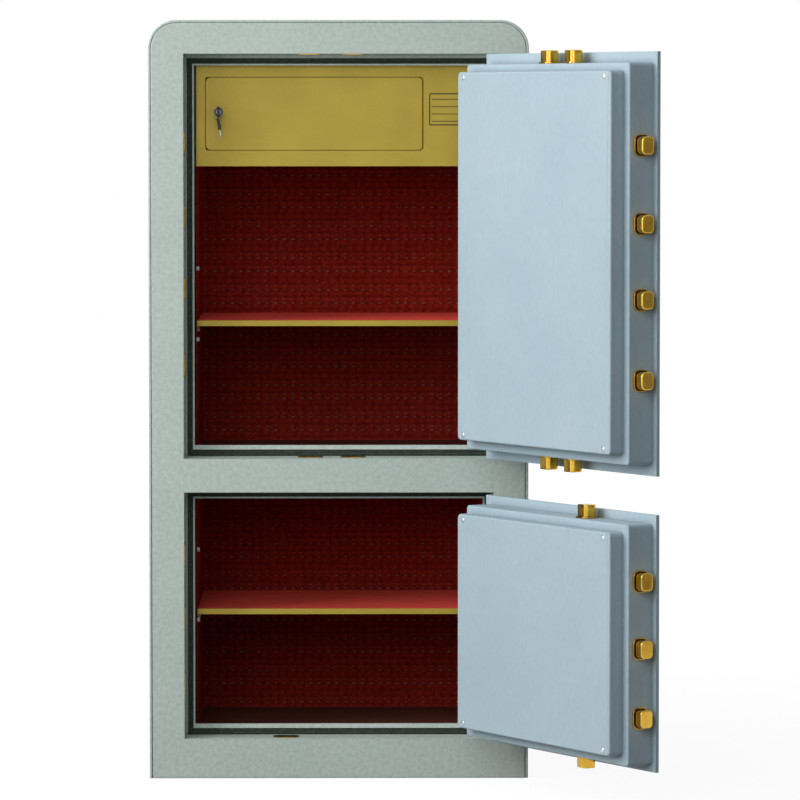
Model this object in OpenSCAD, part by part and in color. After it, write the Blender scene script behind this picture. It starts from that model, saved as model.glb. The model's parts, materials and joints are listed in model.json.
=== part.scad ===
// Two-door electronic safe with a pull-out bolt work, felted shelves and an inner locker.
// Millimetres. The origin is the middle of the base. +X is right, -Y is the front, +Z is up.
// The doors are modelled shut and then turned about their hinge pins to the open angle.

/* [Cabinet] */
// Width over the outer shell
cab_w = 600; // [580:1:700]
// Depth over the outer shell
cab_d = 480; // [440:1:560]
// Height over the outer shell
cab_h = 1200; // [1180:1:1300]
// Thickness of the rolled outer shell
shell_t = 4; // [3:0.5:5]
// Radius of the two rounded top corners
corner_r = 45; // [30:1:60]
// Thickness of the back plate
back_plate_t = 4; // [3:0.5:6]
// Thickness of the base plate
base_t = 5; // [4:0.5:8]

/* [Front frame] */
// Thickness of the face plate
face_t = 6; // [4:0.5:8]
// Border left and right of the door openings
side_border = 55.6; // [52:0.1:62]
// Border above the upper opening
top_border = 53; // [48:0.5:60]
// Border below the lower opening
bottom_border = 63; // [58:0.5:70]
// Bar between the two openings
mid_bar = 54.4; // [52:0.1:64]
// Height of the lower opening
lower_open_h = 391.2; // [380:0.1:420]
// Depth from the front face to the stop flange
reveal_d = 60; // [59:0.5:64]
// Wall of the reveal sleeves
sleeve_t = 3; // [2:0.5:4]
// Thickness of the stop flange
stop_t = 4; // [3:0.5:5]

/* [Door seal] */
// Width of the seal strip at the sides and the top
seal_w = 8.7; // [7:0.1:9.5]
// Width of the seal strip at the sill
sill_seal_w = 10.3; // [8:0.1:12]
// Thickness of the seal strip
seal_t = 2; // [1.5:0.1:3]
// Step from the jamb to the seal
seal_step = 3.6; // [2:0.1:4]
// Step from the upper head to the seal
upper_head_step = 6.5; // [2:0.1:8]
// Step from the lower head to the seal
lower_head_step = 1.8; // [1:0.1:4]
// Lip inside the seal at the sides and the top
lip_w = 2.8; // [2:0.1:3.5]
// Lip inside the seal at the sill
sill_lip_w = 6.9; // [4:0.1:8]

/* [Interior] */
// Side wall from the outside to the carpet
wall_t = 73; // [70:0.5:80]
// Back wall from the outside to the carpet
back_wall_t = 65; // [60:0.5:90]
// Floor from the outside to the carpet
floor_t = 65; // [60:0.5:72]
// Ceiling from the outside to the carpet
ceiling_t = 63; // [60:0.5:70]
// Upper floor above the upper sill
upper_floor_rise = 2; // [0:0.5:4]
// Lower ceiling below the lower head
lower_ceiling_drop = 7.2; // [5:0.1:9]
// Sheet of the inner liners
liner_t = 1.5; // [1:0.1:2]
// Thickness of the carpet
carpet_t = 3; // [2:0.5:4]

/* [Shelves] */
// Top of the upper shelf above the upper floor
upper_shelf_up = 212.6; // [150:0.1:260]
// Top of the lower shelf above the lower floor
lower_shelf_up = 196.6; // [150:0.1:240]
// Front edge of the shelves behind the front face
shelf_setback = 90; // [85:1:120]
// Sheet of the shelves
shelf_t = 1.5; // [1:0.1:2]
// Height of the folded front edge
shelf_edge = 9.2; // [6:0.1:10]
// Height of the folded side edges
shelf_side = 12; // [9:0.5:16]
// Thickness of the felt
felt_t = 1.5; // [1:0.1:2]
// Radius of a shelf peg
peg_r = 3.5; // [3:0.25:5]
// Length of a shelf peg inside the compartment
peg_len = 4.5; // [4:0.5:12]
// First spare peg above the upper shelf
spare_peg_up = 82.8; // [60:0.1:110]
// Second spare peg above the lower shelf
lower_spare_peg_up = 94.8; // [60:0.1:110]

/* [Locker] */
// Height of the locker
locker_h = 167.5; // [150:0.5:190]
// Front of the locker behind the front face
locker_setback = 75; // [74.5:0.5:84]
// Sheet of the locker case
locker_t = 2; // [1.5:0.1:2.5]
// Width of the locker door
locker_door_w = 345; // [300:1:380]
// Height of the locker door
locker_door_h = 115; // [95:1:120]
// Locker door from the left side of the case
locker_door_in = 15.5; // [14:0.5:24]
// Locker door above the bottom of the case
locker_door_up = 25.9; // [20:0.1:32]
// Thickness of the locker door
locker_door_t = 3; // [2.5:0.1:3]
// Radius of the locker door's corners
locker_door_r = 8; // [7.5:0.5:12]
// Seam round the locker door
locker_seam = 1; // [0.8:0.1:1.5]
// Lock centre from the door's left edge
locker_lock_in = 20.4; // [18:0.1:30]
// Lock centre above the door's bottom edge
locker_lock_up = 60.2; // [50:0.1:70]
// Radius of the lock's face
locker_lock_r = 7.2; // [6.5:0.1:8]
// Mean radius of the key ring
key_ring_r = 6; // [5.5:0.5:9]
// Wire radius of the key ring
key_wire_r = 0.6; // [0.5:0.05:0.8]

/* [Doors] */
// Thickness of the door plates
plate_t = 6; // [5:0.5:8]
// Gap beside a door plate
door_gap = 3.4; // [3:0.1:5]
// Gap above a door plate
door_gap_top = 0.9; // [0.8:0.1:3]
// Gap below a door plate
door_gap_bottom = 2.3; // [1:0.1:4]
// Angle at which both doors stand open
open_angle = 120.42; // [20:0.01:165]
// Depth of the bolt cases
case_d = 43.8; // [42:0.1:46]
// Sheet of the bolt cases
case_t = 2; // [1.5:0.1:2.5]
// Plate edge outside the bolt case on the hinge side
case_in_hinge = 12.3; // [10:0.1:16]
// Plate edge outside the bolt case on the bolt side
case_in_free = 9.5; // [8:0.1:14]
// Plate edge above the upper bolt case
upper_case_top = 16.8; // [12:0.1:20]
// Plate edge below the upper bolt case
upper_case_bottom = 17.5; // [12:0.1:20]
// Plate edge above the lower bolt case
lower_case_top = 13.6; // [12:0.1:20]
// Plate edge below the lower bolt case
lower_case_bottom = 10.8; // [9:0.1:20]
// Radius of the bolt cases' corners
case_r = 6; // [4:0.5:10]

/* [Inner covers] */
// Depth of a cover
cover_d = 24.4; // [20:0.1:24.6]
// Sheet of a cover
cover_t = 1.5; // [1:0.1:2]
// Bolt case edge outside the cover on the hinge side
cover_in_hinge = 11.9; // [10:0.1:16]
// Bolt case edge outside the cover on the bolt side
cover_in_free = 13.6; // [12.5:0.1:18]
// Bolt case edge above the cover
cover_in_top = 11.8; // [8:0.1:18]
// Bolt case edge below the cover
cover_in_bottom = 15.4; // [8:0.1:18]
// Radius of a cover's corners
cover_r = 7; // [5:0.5:9]
// Cover screws in from the cover's left and right edges
cover_screw_in = 17.6; // [9:0.1:24]
// Cover screws in from the cover's top and bottom edges
cover_screw_down = 8.6; // [8:0.1:14]
// Shank radius of a cover screw
screw_r = 2; // [1.5:0.1:2.5]

/* [Bolts] */
// Length of a bolt's section along the door's edge
bolt_w = 27; // [22:0.5:29]
// Thickness of a bolt through the door
bolt_t = 21; // [18:0.5:22]
// Corner radius of a bolt's section
bolt_r = 6.5; // [3:0.5:8]
// Travel of the bolts
bolt_throw = 22; // [18:0.1:22]
// How far the bolts are drawn in while the doors stand open
bolt_drawn = 13.3; // [0:0.1:18]
// Side bolts beyond the plate's edge when thrown
side_reach = 23; // [22.5:0.1:25]
// Upper end bolts beyond the plate's edge when thrown
upper_end_reach = 17; // [16:0.1:20]
// Lower end bolts beyond the plate's edge when thrown
lower_end_reach = 20.6; // [18:0.1:22]
// Middle of the bolts behind the door plate
bolt_axis = 22; // [21:0.1:23]
// Upper side bolts above the plate's bottom edge
upper_side_up = [144, 264.4, 378, 495]; // [60:0.1:580]
// Lower side bolts above the plate's bottom edge
lower_side_up = [83, 187.4, 288.7]; // [40:0.1:340]
// Upper end bolts from the plate's free edge
upper_end_in = [263.7, 196]; // [150:0.1:330]
// Lower end bolt from the plate's free edge
lower_end_in = 157; // [130:0.1:185]
// Running clearance round a bolt in its guide
bolt_play = 0.3; // [0.2:0.05:0.5]
// Length of a brass strike in the frame
strike_w = 40; // [36:0.5:44]

/* [Handles and drive] */
// Spindles from the plate's free edge
spindle_in = 157; // [140:0.1:180]
// Upper spindle above the middle of its door
upper_spindle_up = 2.4; // [-12:0.1:12]
// Lower spindle above the middle of its door
lower_spindle_up = 3; // [-12:0.5:12]
// Spindle radius
spindle_r = 8; // [6:0.5:9]
// Running clearance of the spindle and the hinge pins
running = 0.05; // [0.02:0.01:0.1]
// Number of teeth on the drive gears
gear_teeth = 16; // [16:4:24]
// Tooth module of the drive gears
gear_module = 2; // [1.5:0.25:2]
// Face width of the drive gears
gear_w = 28; // [26:0.5:30]
// Length of the lever
lever_len = 112; // [90:1:125]
// Lever in front of the door plate
lever_out = 46; // [40:1:60]
// Radius of the lever's grip
lever_r = 8; // [6:0.5:10]
// Radius of the rosettes
rosette_r = 29; // [24:0.5:34]
// Thickness of the rosettes
rosette_t = 7; // [5:0.5:9]

/* [Hinges] */
// Hinge axis beyond the plate's hinge edge
pivot_side = 7; // [6:0.1:9]
// Hinge axis in front of the front face
pivot_out = 16.5; // [15:0.1:19]
// Radius of the hinge barrels
barrel_r = 11; // [9:0.5:12]
// Radius of the hinge pins
pin_r = 5.5; // [4.5:0.25:6.5]
// Length of a hinge
hinge_len = 110; // [90:1:130]
// Middle of the upper door's hinges from its ends
upper_hinge_in = 105; // [80:1:160]
// Middle of the lower door's hinges from its ends
lower_hinge_in = 80; // [72:1:110]

/* [Keypad] */
// Width of the keypad housing
pad_w = 112; // [104:1:124]
// Height of the keypad housing
pad_h = 150; // [146:1:160]
// Thickness of the keypad housing
pad_t = 16; // [14:0.5:20]
// Keypad's lower edge above the upper spindle
pad_up = 55; // [50:1:70]
// Width of a key
key_w = 22; // [18:0.5:24]
// Height of a key
key_h = 18; // [14:0.5:20]
// Column pitch of the keys
key_pitch_x = 30; // [27:0.5:32]
// Row pitch of the keys
key_pitch_z = 25; // [23:0.5:26]
// Key travel
key_travel = 1.5; // [1:0.1:2]
// Key face in front of the housing
key_proud = 2.5; // [2.2:0.1:3.5]

/* [Floor anchors] */
// Anchor holes apart across the safe
anchor_x = 380; // [300:1:420]
// Anchor holes apart from front to back
anchor_y = 220; // [160:1:260]
// Radius of an anchor hole
anchor_r = 7; // [5:0.5:9]

/* [Hidden] */
$fn = 48;
touch = 0.3; // gap between pieces that rest on each other but move apart
over = 1; // how far a cutting tool runs past the face that it cuts
slide = 0.1; // gap between pieces that slide past each other
key_names = ["key_1", "key_2", "key_3", "key_4", "key_5", "key_6", "key_7", "key_8", "key_9",
    "key_star", "key_0", "key_hash"];

shell_green = "#9fb0a7";
door_blue = "#a4bcc9";
steel_grey = "#8b9296";
gold = "#b09a45";
brass = "#b8871c";
felt_red = "#9a2b2d";
carpet_red = "#4a0404";
rubber_black = "#232a24";
plastic_black = "#1d1f21";

// Cabinet planes
front_y = -cab_d / 2;
back_y = cab_d / 2;
open_half = cab_w / 2 - side_border;
lower_sill = bottom_border;
lower_head = lower_sill + lower_open_h;
upper_sill = lower_head + mid_bar;
upper_head = cab_h - top_border;
stop_y = front_y + reveal_d;
liner_front = stop_y + stop_t;
inner_half = cab_w / 2 - wall_t;
inner_back = back_y - back_wall_t;
lower_floor = floor_t;
lower_ceiling = lower_head - lower_ceiling_drop;
upper_floor = upper_sill + upper_floor_rise;
upper_ceiling = cab_h - ceiling_t;
lining = carpet_t + liner_t;

// Door planes, with the door shut
plate_hinge = open_half - door_gap;
plate_free = -plate_hinge;
plate_back = front_y + plate_t;
upper_lo = upper_sill + door_gap_bottom;
upper_hi = upper_head - door_gap_top;
lower_lo = lower_sill + door_gap_bottom;
lower_hi = lower_head - door_gap_top;
case_x0 = plate_free + case_in_free;
case_x1 = plate_hinge - case_in_hinge;
case_y = plate_back + case_d;
upper_case_lo = upper_lo + upper_case_bottom;
upper_case_hi = upper_hi - upper_case_top;
lower_case_lo = lower_lo + lower_case_bottom;
lower_case_hi = lower_hi - lower_case_top;
cover_x0 = case_x0 + cover_in_free;
cover_x1 = case_x1 - cover_in_hinge;
pivot_x = plate_hinge + pivot_side;
pivot_y = front_y - pivot_out;

// Bolt work
bolt_y = plate_back + bolt_axis;
spindle_x = plate_free + spindle_in;
upper_spindle_z = (upper_lo + upper_hi) / 2 + upper_spindle_up;
lower_spindle_z = (lower_lo + lower_hi) / 2 + lower_spindle_up;
upper_side_z = [for (up = upper_side_up) upper_lo + up];
lower_side_z = [for (up = lower_side_up) lower_lo + up];
upper_end_x = [for (in = upper_end_in) plate_free + in];
lower_end_x = [plate_free + lower_end_in];
side_tip = plate_free - side_reach;
guide_flange = 3; // brass flange wider than the bolt on each side
guide_wall = 1.8;
guide_proud = 2.5;
guide_gap = 1.7; // recess round the bolt inside the flange
guide_inside = 6;
carriage_x = case_x0 + bolt_throw + case_r + guide_inside; // side bolts' upright bar
carriage_w = 16;
strike_hole = 0.8; // strike hole wider than the bolt on each side
strike_wall = 3;
strike_depth = 16;
strike_rim = 4; // strike rim wider than the bolt, front and back
strike_rim_t = 1;
gear_y = plate_back + 6;
rod_y = gear_y + 2; // upright rods, the layer next to the door plate
rod_t = 9;
rod_w = 9;
bar_w = 14; // cross bar that joins the end bolts to their rod
bar_in = 14; // cross bar clear of the case wall when the bolts are drawn in
arm_y = rod_y + rod_t + 4; // side bolts' rack, the layer above the rods
arm_t = 9;
gear_r = gear_module * gear_teeth / 2;
drive_turn = bolt_drawn / gear_r * 180 / PI; // gear and lever, turned from the bolts' thrown place
tooth_up = 0.9 * gear_module;
tooth_down = 1.2 * gear_module;
tooth_play = 0.25;
pressure = 20;
tooth_pitch = PI * gear_module;
base_r = gear_r * cos(pressure);
gear_tip = gear_r + tooth_up;
gear_root = gear_r - tooth_down;
flank_steps = 4;
shrink = 0.02; // gear bore wider than the spindle that carries it
rack_tail = 2; // rack teeth past the gear's axis on the short side
rack_run = ceil((bolt_throw + 10) / tooth_pitch);
rack_body = tooth_down + rod_w;
handle_boss = 5; // boss wider than the spindle
handle_cap = 2; // boss in front of the lever
solenoid_w = 36;
solenoid_t = 26;
solenoid_h = 62;
safe_lock_r = 11;
safe_lock_down = 94.4; // key lock below the top of the lower bolt case
safe_lock_z = lower_case_hi - safe_lock_down;
safe_lock_in = 24; // key lock body behind the door plate
safe_plug_r = 7;
safe_rim_w = 9; // rim of the key lock round its body
safe_rim_t = 4;
safe_tail_t = 4; // tail behind the key lock
plug_front = front_y - safe_rim_t - over;
key_slot = 2.4;

// Hinges and cover screws
knuckle = hinge_len / 3;
leaf_t = 6;
leaf_w = 40; // leaf on the door plate
frame_leaf_w = 30; // leaf on the front frame
leaf_gap = 3; // frame leaf clear of the barrel
leaf_in = 6; // door leaf in from the plate's hinge edge
hinge_arm_t = 11; // arm between a leaf and its barrel
hinge_arm_gap = 2; // arm clear of the front face
pin_end = 2; // pin past the barrel at each end
post_r = 6;
screw_head_r = 4;
screw_head_t = 1.8;
screw_grip = 1.5; // screw past the bolt case's sheet

// Shelf pegs
peg_back = 35; // pegs in from a shelf's front edge and from the back
peg_front_y = front_y + shelf_setback + peg_back;
peg_back_y = inner_back - peg_back;
spare_peg_y = liner_front + 30;
peg_pitch = 113; // spare pegs above each other

// Locker
locker_x0 = -inner_half + touch;
locker_x1 = inner_half - touch;
locker_z1 = upper_ceiling - touch;
locker_z0 = locker_z1 - locker_h;
locker_y0 = front_y + locker_setback;
locker_y1 = inner_back - touch;
locker_door_x0 = locker_x0 + locker_door_in;
locker_door_x1 = locker_door_x0 + locker_door_w;
locker_door_z0 = locker_z0 + locker_door_up;
locker_door_z1 = locker_door_z0 + locker_door_h;
roll_r = locker_door_t / 2;
roll_x = locker_door_x1 - roll_r;
roll_y = locker_y0 + roll_r;
locker_pin_r = 0.8;
locker_hole_r = 5.5; // corners of the door's hole, tighter than the door's so that it turns clear
lock_x = locker_door_x0 + locker_lock_in;
lock_z = locker_door_z0 + locker_lock_up;
lock_len = 18; // lock body behind the door's face
lock_proud = 1.5;
plug_r = 4.5;
cam_len = 28;
cam_t = 2;
cam_w = 10;
cam_r = 4;
bow_len = 19;
bow_w = 17.6;
bow_t = 3;
bow_r = 4;
bow_hole_r = 2.2;
bow_hole_in = 4.4;
blade_len = 12;
blade_w = 6;
blade_t = 1.8;
lug_w = 9; // lugs behind the locker's front that hold the door's pins
lug_d = 3;
pin_up = 8; // door pin inside the door's rolled edge
keeper_y0 = locker_y0 + lock_len - locker_t - 1;
keeper_h = 30;
nut_r = locker_lock_r + 2;
nut_t = 3;
bow_y = locker_y0 - lock_proud - touch - bow_len;
ring_y = bow_y + bow_hole_in;
ring_drop = key_ring_r - sqrt(key_ring_r * key_ring_r - bow_t * bow_t / 4); // wire's fall at a bow's faces
ring_z = lock_z - bow_hole_r + key_wire_r + slide + ring_drop - key_ring_r;
spare_hole_z = ring_z - key_ring_r - bow_hole_r + key_wire_r + slide + ring_drop;

// Keypad
pad_z0 = upper_spindle_z + pad_up;
pad_front = front_y - pad_t;
pad_r = 12;
key_play = 0.3;
key_floor = key_travel + 0.5; // free space under a key
key_r = 4;
key_tall = 9.5;
key_back = pad_front - key_proud + key_tall;
key_first_z = 21; // bottom row of keys above the housing's lower edge
window_w = 84;
window_h = 24;
window_z = 117; // display window above the housing's lower edge
window_d = 1;
window_r = 3;
cable_r = 6; // cable hole through the door plate, behind the keypad
cable_z = pad_z0 + pad_h / 2;

// Plain box between two corners
module slab(x0, x1, y0, y1, z0, z1) {
    translate([x0, y0, z0]) cube([x1 - x0, y1 - y0, z1 - z0]);
}

// Extrudes an outline drawn in X and Z from y0 to y1
module along_y(y0, y1) {
    translate([0, y1, 0]) rotate([90, 0, 0]) linear_extrude(y1 - y0) children();
}

// Extrudes an outline drawn in Y and Z from x0 to x1
module along_x(x0, x1) {
    translate([x0, 0, 0]) rotate([90, 0, 90]) linear_extrude(x1 - x0) children();
}

// Round bar along Y
module round_bar(x, z, y0, y1, r) {
    translate([x, y0, z]) rotate([-90, 0, 0]) cylinder(h = y1 - y0, r = r);
}

// Rectangle with round corners, centred
module round_rect(w, h, r) {
    square([w - 2 * r, h], center = true);
    square([w, h - 2 * r], center = true);
    for (sx = [-1, 1], sy = [-1, 1])
        translate([sx * (w / 2 - r), sy * (h / 2 - r)]) circle(r = r);
}

// Rectangle with round corners between two corners
module round_box(x0, x1, z0, z1, r) {
    translate([(x0 + x1) / 2, (z0 + z1) / 2]) round_rect(x1 - x0, z1 - z0, r);
}

// Outline of the cabinet, square at the floor and round at the top
module arch(w, h, r) {
    translate([-w / 2, 0]) square([w, h - r]);
    translate([r - w / 2, 0]) square([w - 2 * r, h]);
    for (s = [-1, 1]) translate([s * (w / 2 - r), h - r]) circle(r = r);
}

// What fits inside the outer shell
module inside_arch() {
    arch(cab_w - 2 * shell_t, cab_h - shell_t, corner_r - shell_t);
}

module above_base() {
    difference() {
        inside_arch();
        translate([-cab_w / 2, -over]) square([cab_w, base_t + over]);
    }
}

module anchor_holes(z0, z1) {
    for (sx = [-1, 1], sy = [-1, 1])
        translate([sx * anchor_x / 2, sy * anchor_y / 2, z0]) cylinder(h = z1 - z0, r = anchor_r);
}

module outer_shell() color(shell_green) {
    along_y(front_y, back_y) difference() {
        arch(cab_w, cab_h, corner_r);
        translate([0, -over])
            arch(cab_w - 2 * shell_t, cab_h - shell_t + over, corner_r - shell_t);
    }
}

module back_plate() color(shell_green) along_y(back_y - back_plate_t, back_y) above_base();

module base_plate() color(steel_grey) difference() {
    slab(shell_t - cab_w / 2, cab_w / 2 - shell_t, front_y + face_t, back_y, 0, base_t);
    anchor_holes(-over, base_t + over);
}

// Outline of one door opening, drawn smaller by the given steps
module opening(sill, head, side = 0, bottom = 0, top = 0) {
    translate([side - open_half, sill + bottom])
        square([2 * (open_half - side), head - sill - bottom - top]);
}

module seal_outer(sill, head, head_step) opening(sill, head, seal_step, 0, head_step);

module seal_inner(sill, head, head_step) {
    opening(sill, head, seal_step + seal_w, sill_seal_w, head_step + seal_w);
}

module lip_inner(sill, head, head_step) {
    opening(sill, head, seal_step + seal_w + lip_w, sill_seal_w + sill_lip_w,
        head_step + seal_w + lip_w);
}

// Section of a bolt in its own plane, grown by g on every side
module bolt_section(w, t, g = 0) round_rect(w + 2 * g, t + 2 * g, bolt_r + g);

// Pockets in the frame for the bolts of one door, cut with the section grown by g
module strike_cuts(sides, ends, sill, head, g, depth, start = 0) {
    for (z = sides)
        along_x(-open_half - depth, start - open_half)
            translate([bolt_y, z]) rotate(90) bolt_section(bolt_w, bolt_t, g);
    for (x = ends) {
        translate([x, bolt_y, head - start]) linear_extrude(depth + start)
            bolt_section(bolt_w, bolt_t, g);
        translate([x, bolt_y, sill - depth]) linear_extrude(depth + start)
            bolt_section(bolt_w, bolt_t, g);
    }
}

module front_frame() color(shell_green) difference() {
    union() {
        along_y(front_y, front_y + face_t) inside_arch();
        for (o = [[lower_sill, lower_head], [upper_sill, upper_head]])
            along_y(front_y, stop_y + stop_t)
                opening(o[0], o[1], -sleeve_t, -sleeve_t, -sleeve_t);
        along_y(stop_y, stop_y + stop_t) above_base();
    }
    for (o = [[lower_sill, lower_head, lower_head_step], [upper_sill, upper_head, upper_head_step]]) {
        along_y(front_y - over, stop_y - seal_t) opening(o[0], o[1]);
        along_y(stop_y - seal_t - over, stop_y) difference() {
            opening(o[0], o[1]);
            seal_inner(o[0], o[1], o[2]);
        }
        along_y(front_y - over, stop_y + stop_t + over) lip_inner(o[0], o[1], o[2]);
    }
    strike_cuts(upper_side_z, upper_end_x, upper_sill, upper_head, strike_wall, sleeve_t + over, over);
    strike_cuts(lower_side_z, lower_end_x, lower_sill, lower_head, strike_wall, sleeve_t + over, over);
}

// Brass strikes: a flanged tube for each bolt, let into the reveal
module strikes(sides, ends, sill, head) {
    difference() {
        union() {
            strike_cuts(sides, ends, sill, head, strike_wall, strike_depth);
            for (z = sides)
                along_x(-open_half, strike_rim_t - open_half)
                    translate([bolt_y, z]) rotate(90)
                        round_rect(strike_w, bolt_t + 2 * strike_rim, bolt_r);
            for (x = ends, face = [head - strike_rim_t, sill])
                translate([x, bolt_y, face]) linear_extrude(strike_rim_t)
                    round_rect(strike_w, bolt_t + 2 * strike_rim, bolt_r);
        }
        strike_cuts(sides, ends, sill, head, strike_hole, strike_depth + over, 2 * strike_rim_t);
    }
}

module strike_bushes() color(brass) {
    strikes(upper_side_z, upper_end_x, upper_sill, upper_head);
    strikes(lower_side_z, lower_end_x, lower_sill, lower_head);
}

module door_seals() color(rubber_black)
    for (o = [[lower_sill, lower_head, lower_head_step], [upper_sill, upper_head, upper_head_step]])
        along_y(stop_y - seal_t, stop_y) difference() {
            seal_outer(o[0], o[1], o[2]);
            seal_inner(o[0], o[1], o[2]);
        }

// Space of one compartment, grown by g on the walls, the floor, the ceiling and the back
module compartment(z0, z1, g, front = liner_front) {
    slab(-inner_half - g, inner_half + g, front, inner_back + g, z0 - g, z1 + g);
}

module fire_fill() color("#b9b4a8") difference() {
    along_y(liner_front, back_y - back_plate_t) above_base();
    compartment(lower_floor, lower_ceiling, lining, liner_front - over);
    compartment(upper_floor, upper_ceiling, lining, liner_front - over);
    anchor_holes(base_t - over, lower_floor);
}

module liner(z0, z1) difference() {
    compartment(z0, z1, lining);
    compartment(z0, z1, carpet_t, liner_front - over);
}

module upper_liner() color(steel_grey) liner(upper_floor, upper_ceiling);

module lower_liner() color(steel_grey) difference() {
    liner(lower_floor, lower_ceiling);
    anchor_holes(base_t, lower_floor);
}

module carpet_lining() color(carpet_red) difference() {
    union() {
        compartment(lower_floor, lower_ceiling, carpet_t);
        compartment(upper_floor, upper_ceiling, carpet_t);
    }
    compartment(lower_floor, lower_ceiling, 0, liner_front - over);
    compartment(upper_floor, upper_ceiling, 0, liner_front - over);
    anchor_holes(base_t, lower_floor + over);
    peg_set();
}

// Steel tray with its top at z, folded down at the front and the sides
module shelf(z) color(gold) {
    x = inner_half - touch;
    y0 = front_y + shelf_setback;
    slab(-x, x, y0, inner_back - touch, z - felt_t - shelf_t, z - felt_t);
    slab(-x, x, y0, y0 + shelf_t, z - shelf_edge, z);
    for (s = [-1, 1])
        translate([s * (x - shelf_t / 2), 0, 0])
            slab(-shelf_t / 2, shelf_t / 2, y0, inner_back - touch, z - shelf_side, z - felt_t);
}

module upper_shelf() shelf(upper_floor + upper_shelf_up);

module lower_shelf() shelf(lower_floor + lower_shelf_up);

module shelf_felts() color(felt_red)
    for (z = [lower_floor + lower_shelf_up, upper_floor + upper_shelf_up])
        slab(touch - inner_half, inner_half - touch, front_y + shelf_setback + shelf_t,
            inner_back - touch, z - felt_t, z);

// Peg in the left and the right wall at one height and depth
module peg_pair(y, z)
    for (s = [-1, 1])
        translate([s * (inner_half + carpet_t), y, z]) rotate([0, -s * 90, 0])
            cylinder(h = peg_len + carpet_t, r = peg_r);

// Pegs under both shelves, and spare ones in the front row
module peg_set() {
    for (z = [lower_floor + lower_shelf_up, upper_floor + upper_shelf_up], y = [peg_front_y, peg_back_y])
        peg_pair(y, z - shelf_side - peg_r);
    peg_pair(spare_peg_y, upper_floor + upper_shelf_up + spare_peg_up);
    peg_pair(spare_peg_y, upper_floor + upper_shelf_up + spare_peg_up - peg_pitch);
    peg_pair(spare_peg_y, lower_floor + lower_shelf_up + lower_spare_peg_up);
    peg_pair(spare_peg_y, lower_floor + lower_shelf_up + lower_spare_peg_up - peg_pitch);
}

module shelf_pegs() color("#d9dcd8") peg_set();

module locker_case() color(gold) {
    difference() {
        slab(locker_x0, locker_x1, locker_y0, locker_y1, locker_z0, locker_z1);
        slab(locker_x0 + locker_t, locker_x1 - locker_t, locker_y0 + locker_t,
            locker_y1 - locker_t, locker_z0 + locker_t, locker_z1 - locker_t);
        along_y(locker_y0 - over, locker_y0 + locker_t + over)
            round_box(locker_door_x0 - locker_seam, locker_door_x1 + locker_seam,
                locker_door_z0 - locker_seam, locker_door_z1 + locker_seam, locker_hole_r);
    }
    // Door pins on lugs, below and above the door's rolled edge
    for (end = [[locker_door_z0 - locker_seam, 1], [locker_door_z1 + locker_seam, -1]])
        translate([roll_x, 0, end[0]]) mirror([0, 0, end[1] > 0 ? 0 : 1]) {
            slab(-lug_w / 2, lug_w / 2, locker_y0 + locker_t, roll_y + lug_d, -lug_w, 0);
            translate([0, roll_y, -over])
                cylinder(h = locker_door_r + pin_up + over, r = locker_pin_r);
        }
    // Keeper behind which the cam turns
    slab(locker_x0 + locker_t, locker_door_x0 - locker_t, keeper_y0, keeper_y0 + locker_t,
        lock_z - keeper_h / 2, lock_z + keeper_h / 2);
}

// Sheet with a rolled edge that turns on the pins
module locker_door() color(gold) difference() {
    intersection() {
        along_y(locker_y0, locker_y0 + locker_door_t)
            round_box(locker_door_x0, locker_door_x1, locker_door_z0, locker_door_z1, locker_door_r);
        union() {
            slab(locker_door_x0 - over, roll_x, locker_y0 - over, roll_y + locker_door_t,
                locker_door_z0 - over, locker_door_z1 + over);
            translate([roll_x, roll_y, locker_door_z0 - over])
                cylinder(h = locker_door_h + 2 * over, r = roll_r);
        }
    }
    translate([roll_x, roll_y, locker_door_z0 - over])
        cylinder(h = locker_door_h + 2 * over, r = locker_pin_r + running);
    round_bar(lock_x, lock_z, locker_y0 - over, locker_y0 + locker_door_t + over,
        locker_lock_r - 1 + running);
}

module locker_lock_body() color(steel_grey) difference() {
    union() {
        round_bar(lock_x, lock_z, locker_y0 - lock_proud, locker_y0, locker_lock_r);
        round_bar(lock_x, lock_z, locker_y0 - over, locker_y0 + lock_len - touch, locker_lock_r - 1);
        round_bar(lock_x, lock_z, locker_y0 + locker_door_t, locker_y0 + locker_door_t + nut_t,
            nut_r);
    }
    round_bar(lock_x, lock_z, locker_y0 - lock_proud - over, locker_y0 + lock_len + over,
        plug_r + running);
}

module locker_lock_plug() color(steel_grey) difference() {
    union() {
        round_bar(lock_x, lock_z, locker_y0 - lock_proud, locker_y0 + lock_len + cam_t, plug_r);
        along_y(locker_y0 + lock_len, locker_y0 + lock_len + cam_t)
            translate([lock_x, lock_z + cam_len / 2 - plug_r / 2])
                round_rect(cam_w, cam_len + plug_r, cam_r);
    }
    slab(lock_x - blade_t / 2 - slide, lock_x + blade_t / 2 + slide, locker_y0 - lock_proud - over,
        locker_y0 - lock_proud + blade_len, lock_z - blade_w / 2 - slide, lock_z + blade_w / 2 + slide);
}

// Key drawn in Y and Z: the bow from 0 to bow_len and the blade beyond it
module key_shape() {
    difference() {
        translate([bow_len / 2, 0]) round_rect(bow_len, bow_w, bow_r);
        translate([bow_hole_in, 0]) circle(r = bow_hole_r);
    }
}

module key_solid() {
    along_x(-bow_t / 2, bow_t / 2) key_shape();
    slab(-blade_t / 2, blade_t / 2, bow_len - over, bow_len + blade_len, -blade_w / 2, blade_w / 2);
}

module locker_key() color(plastic_black) translate([lock_x, bow_y, lock_z]) key_solid();

module key_ring() color(steel_grey)
    translate([lock_x, ring_y, ring_z]) rotate([90, 0, 0])
        rotate_extrude() translate([key_ring_r, 0]) circle(r = key_wire_r);

module spare_key() color(plastic_black)
    translate([lock_x, ring_y, spare_hole_z + bow_hole_in]) rotate([-90, 0, 0]) key_solid();

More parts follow.
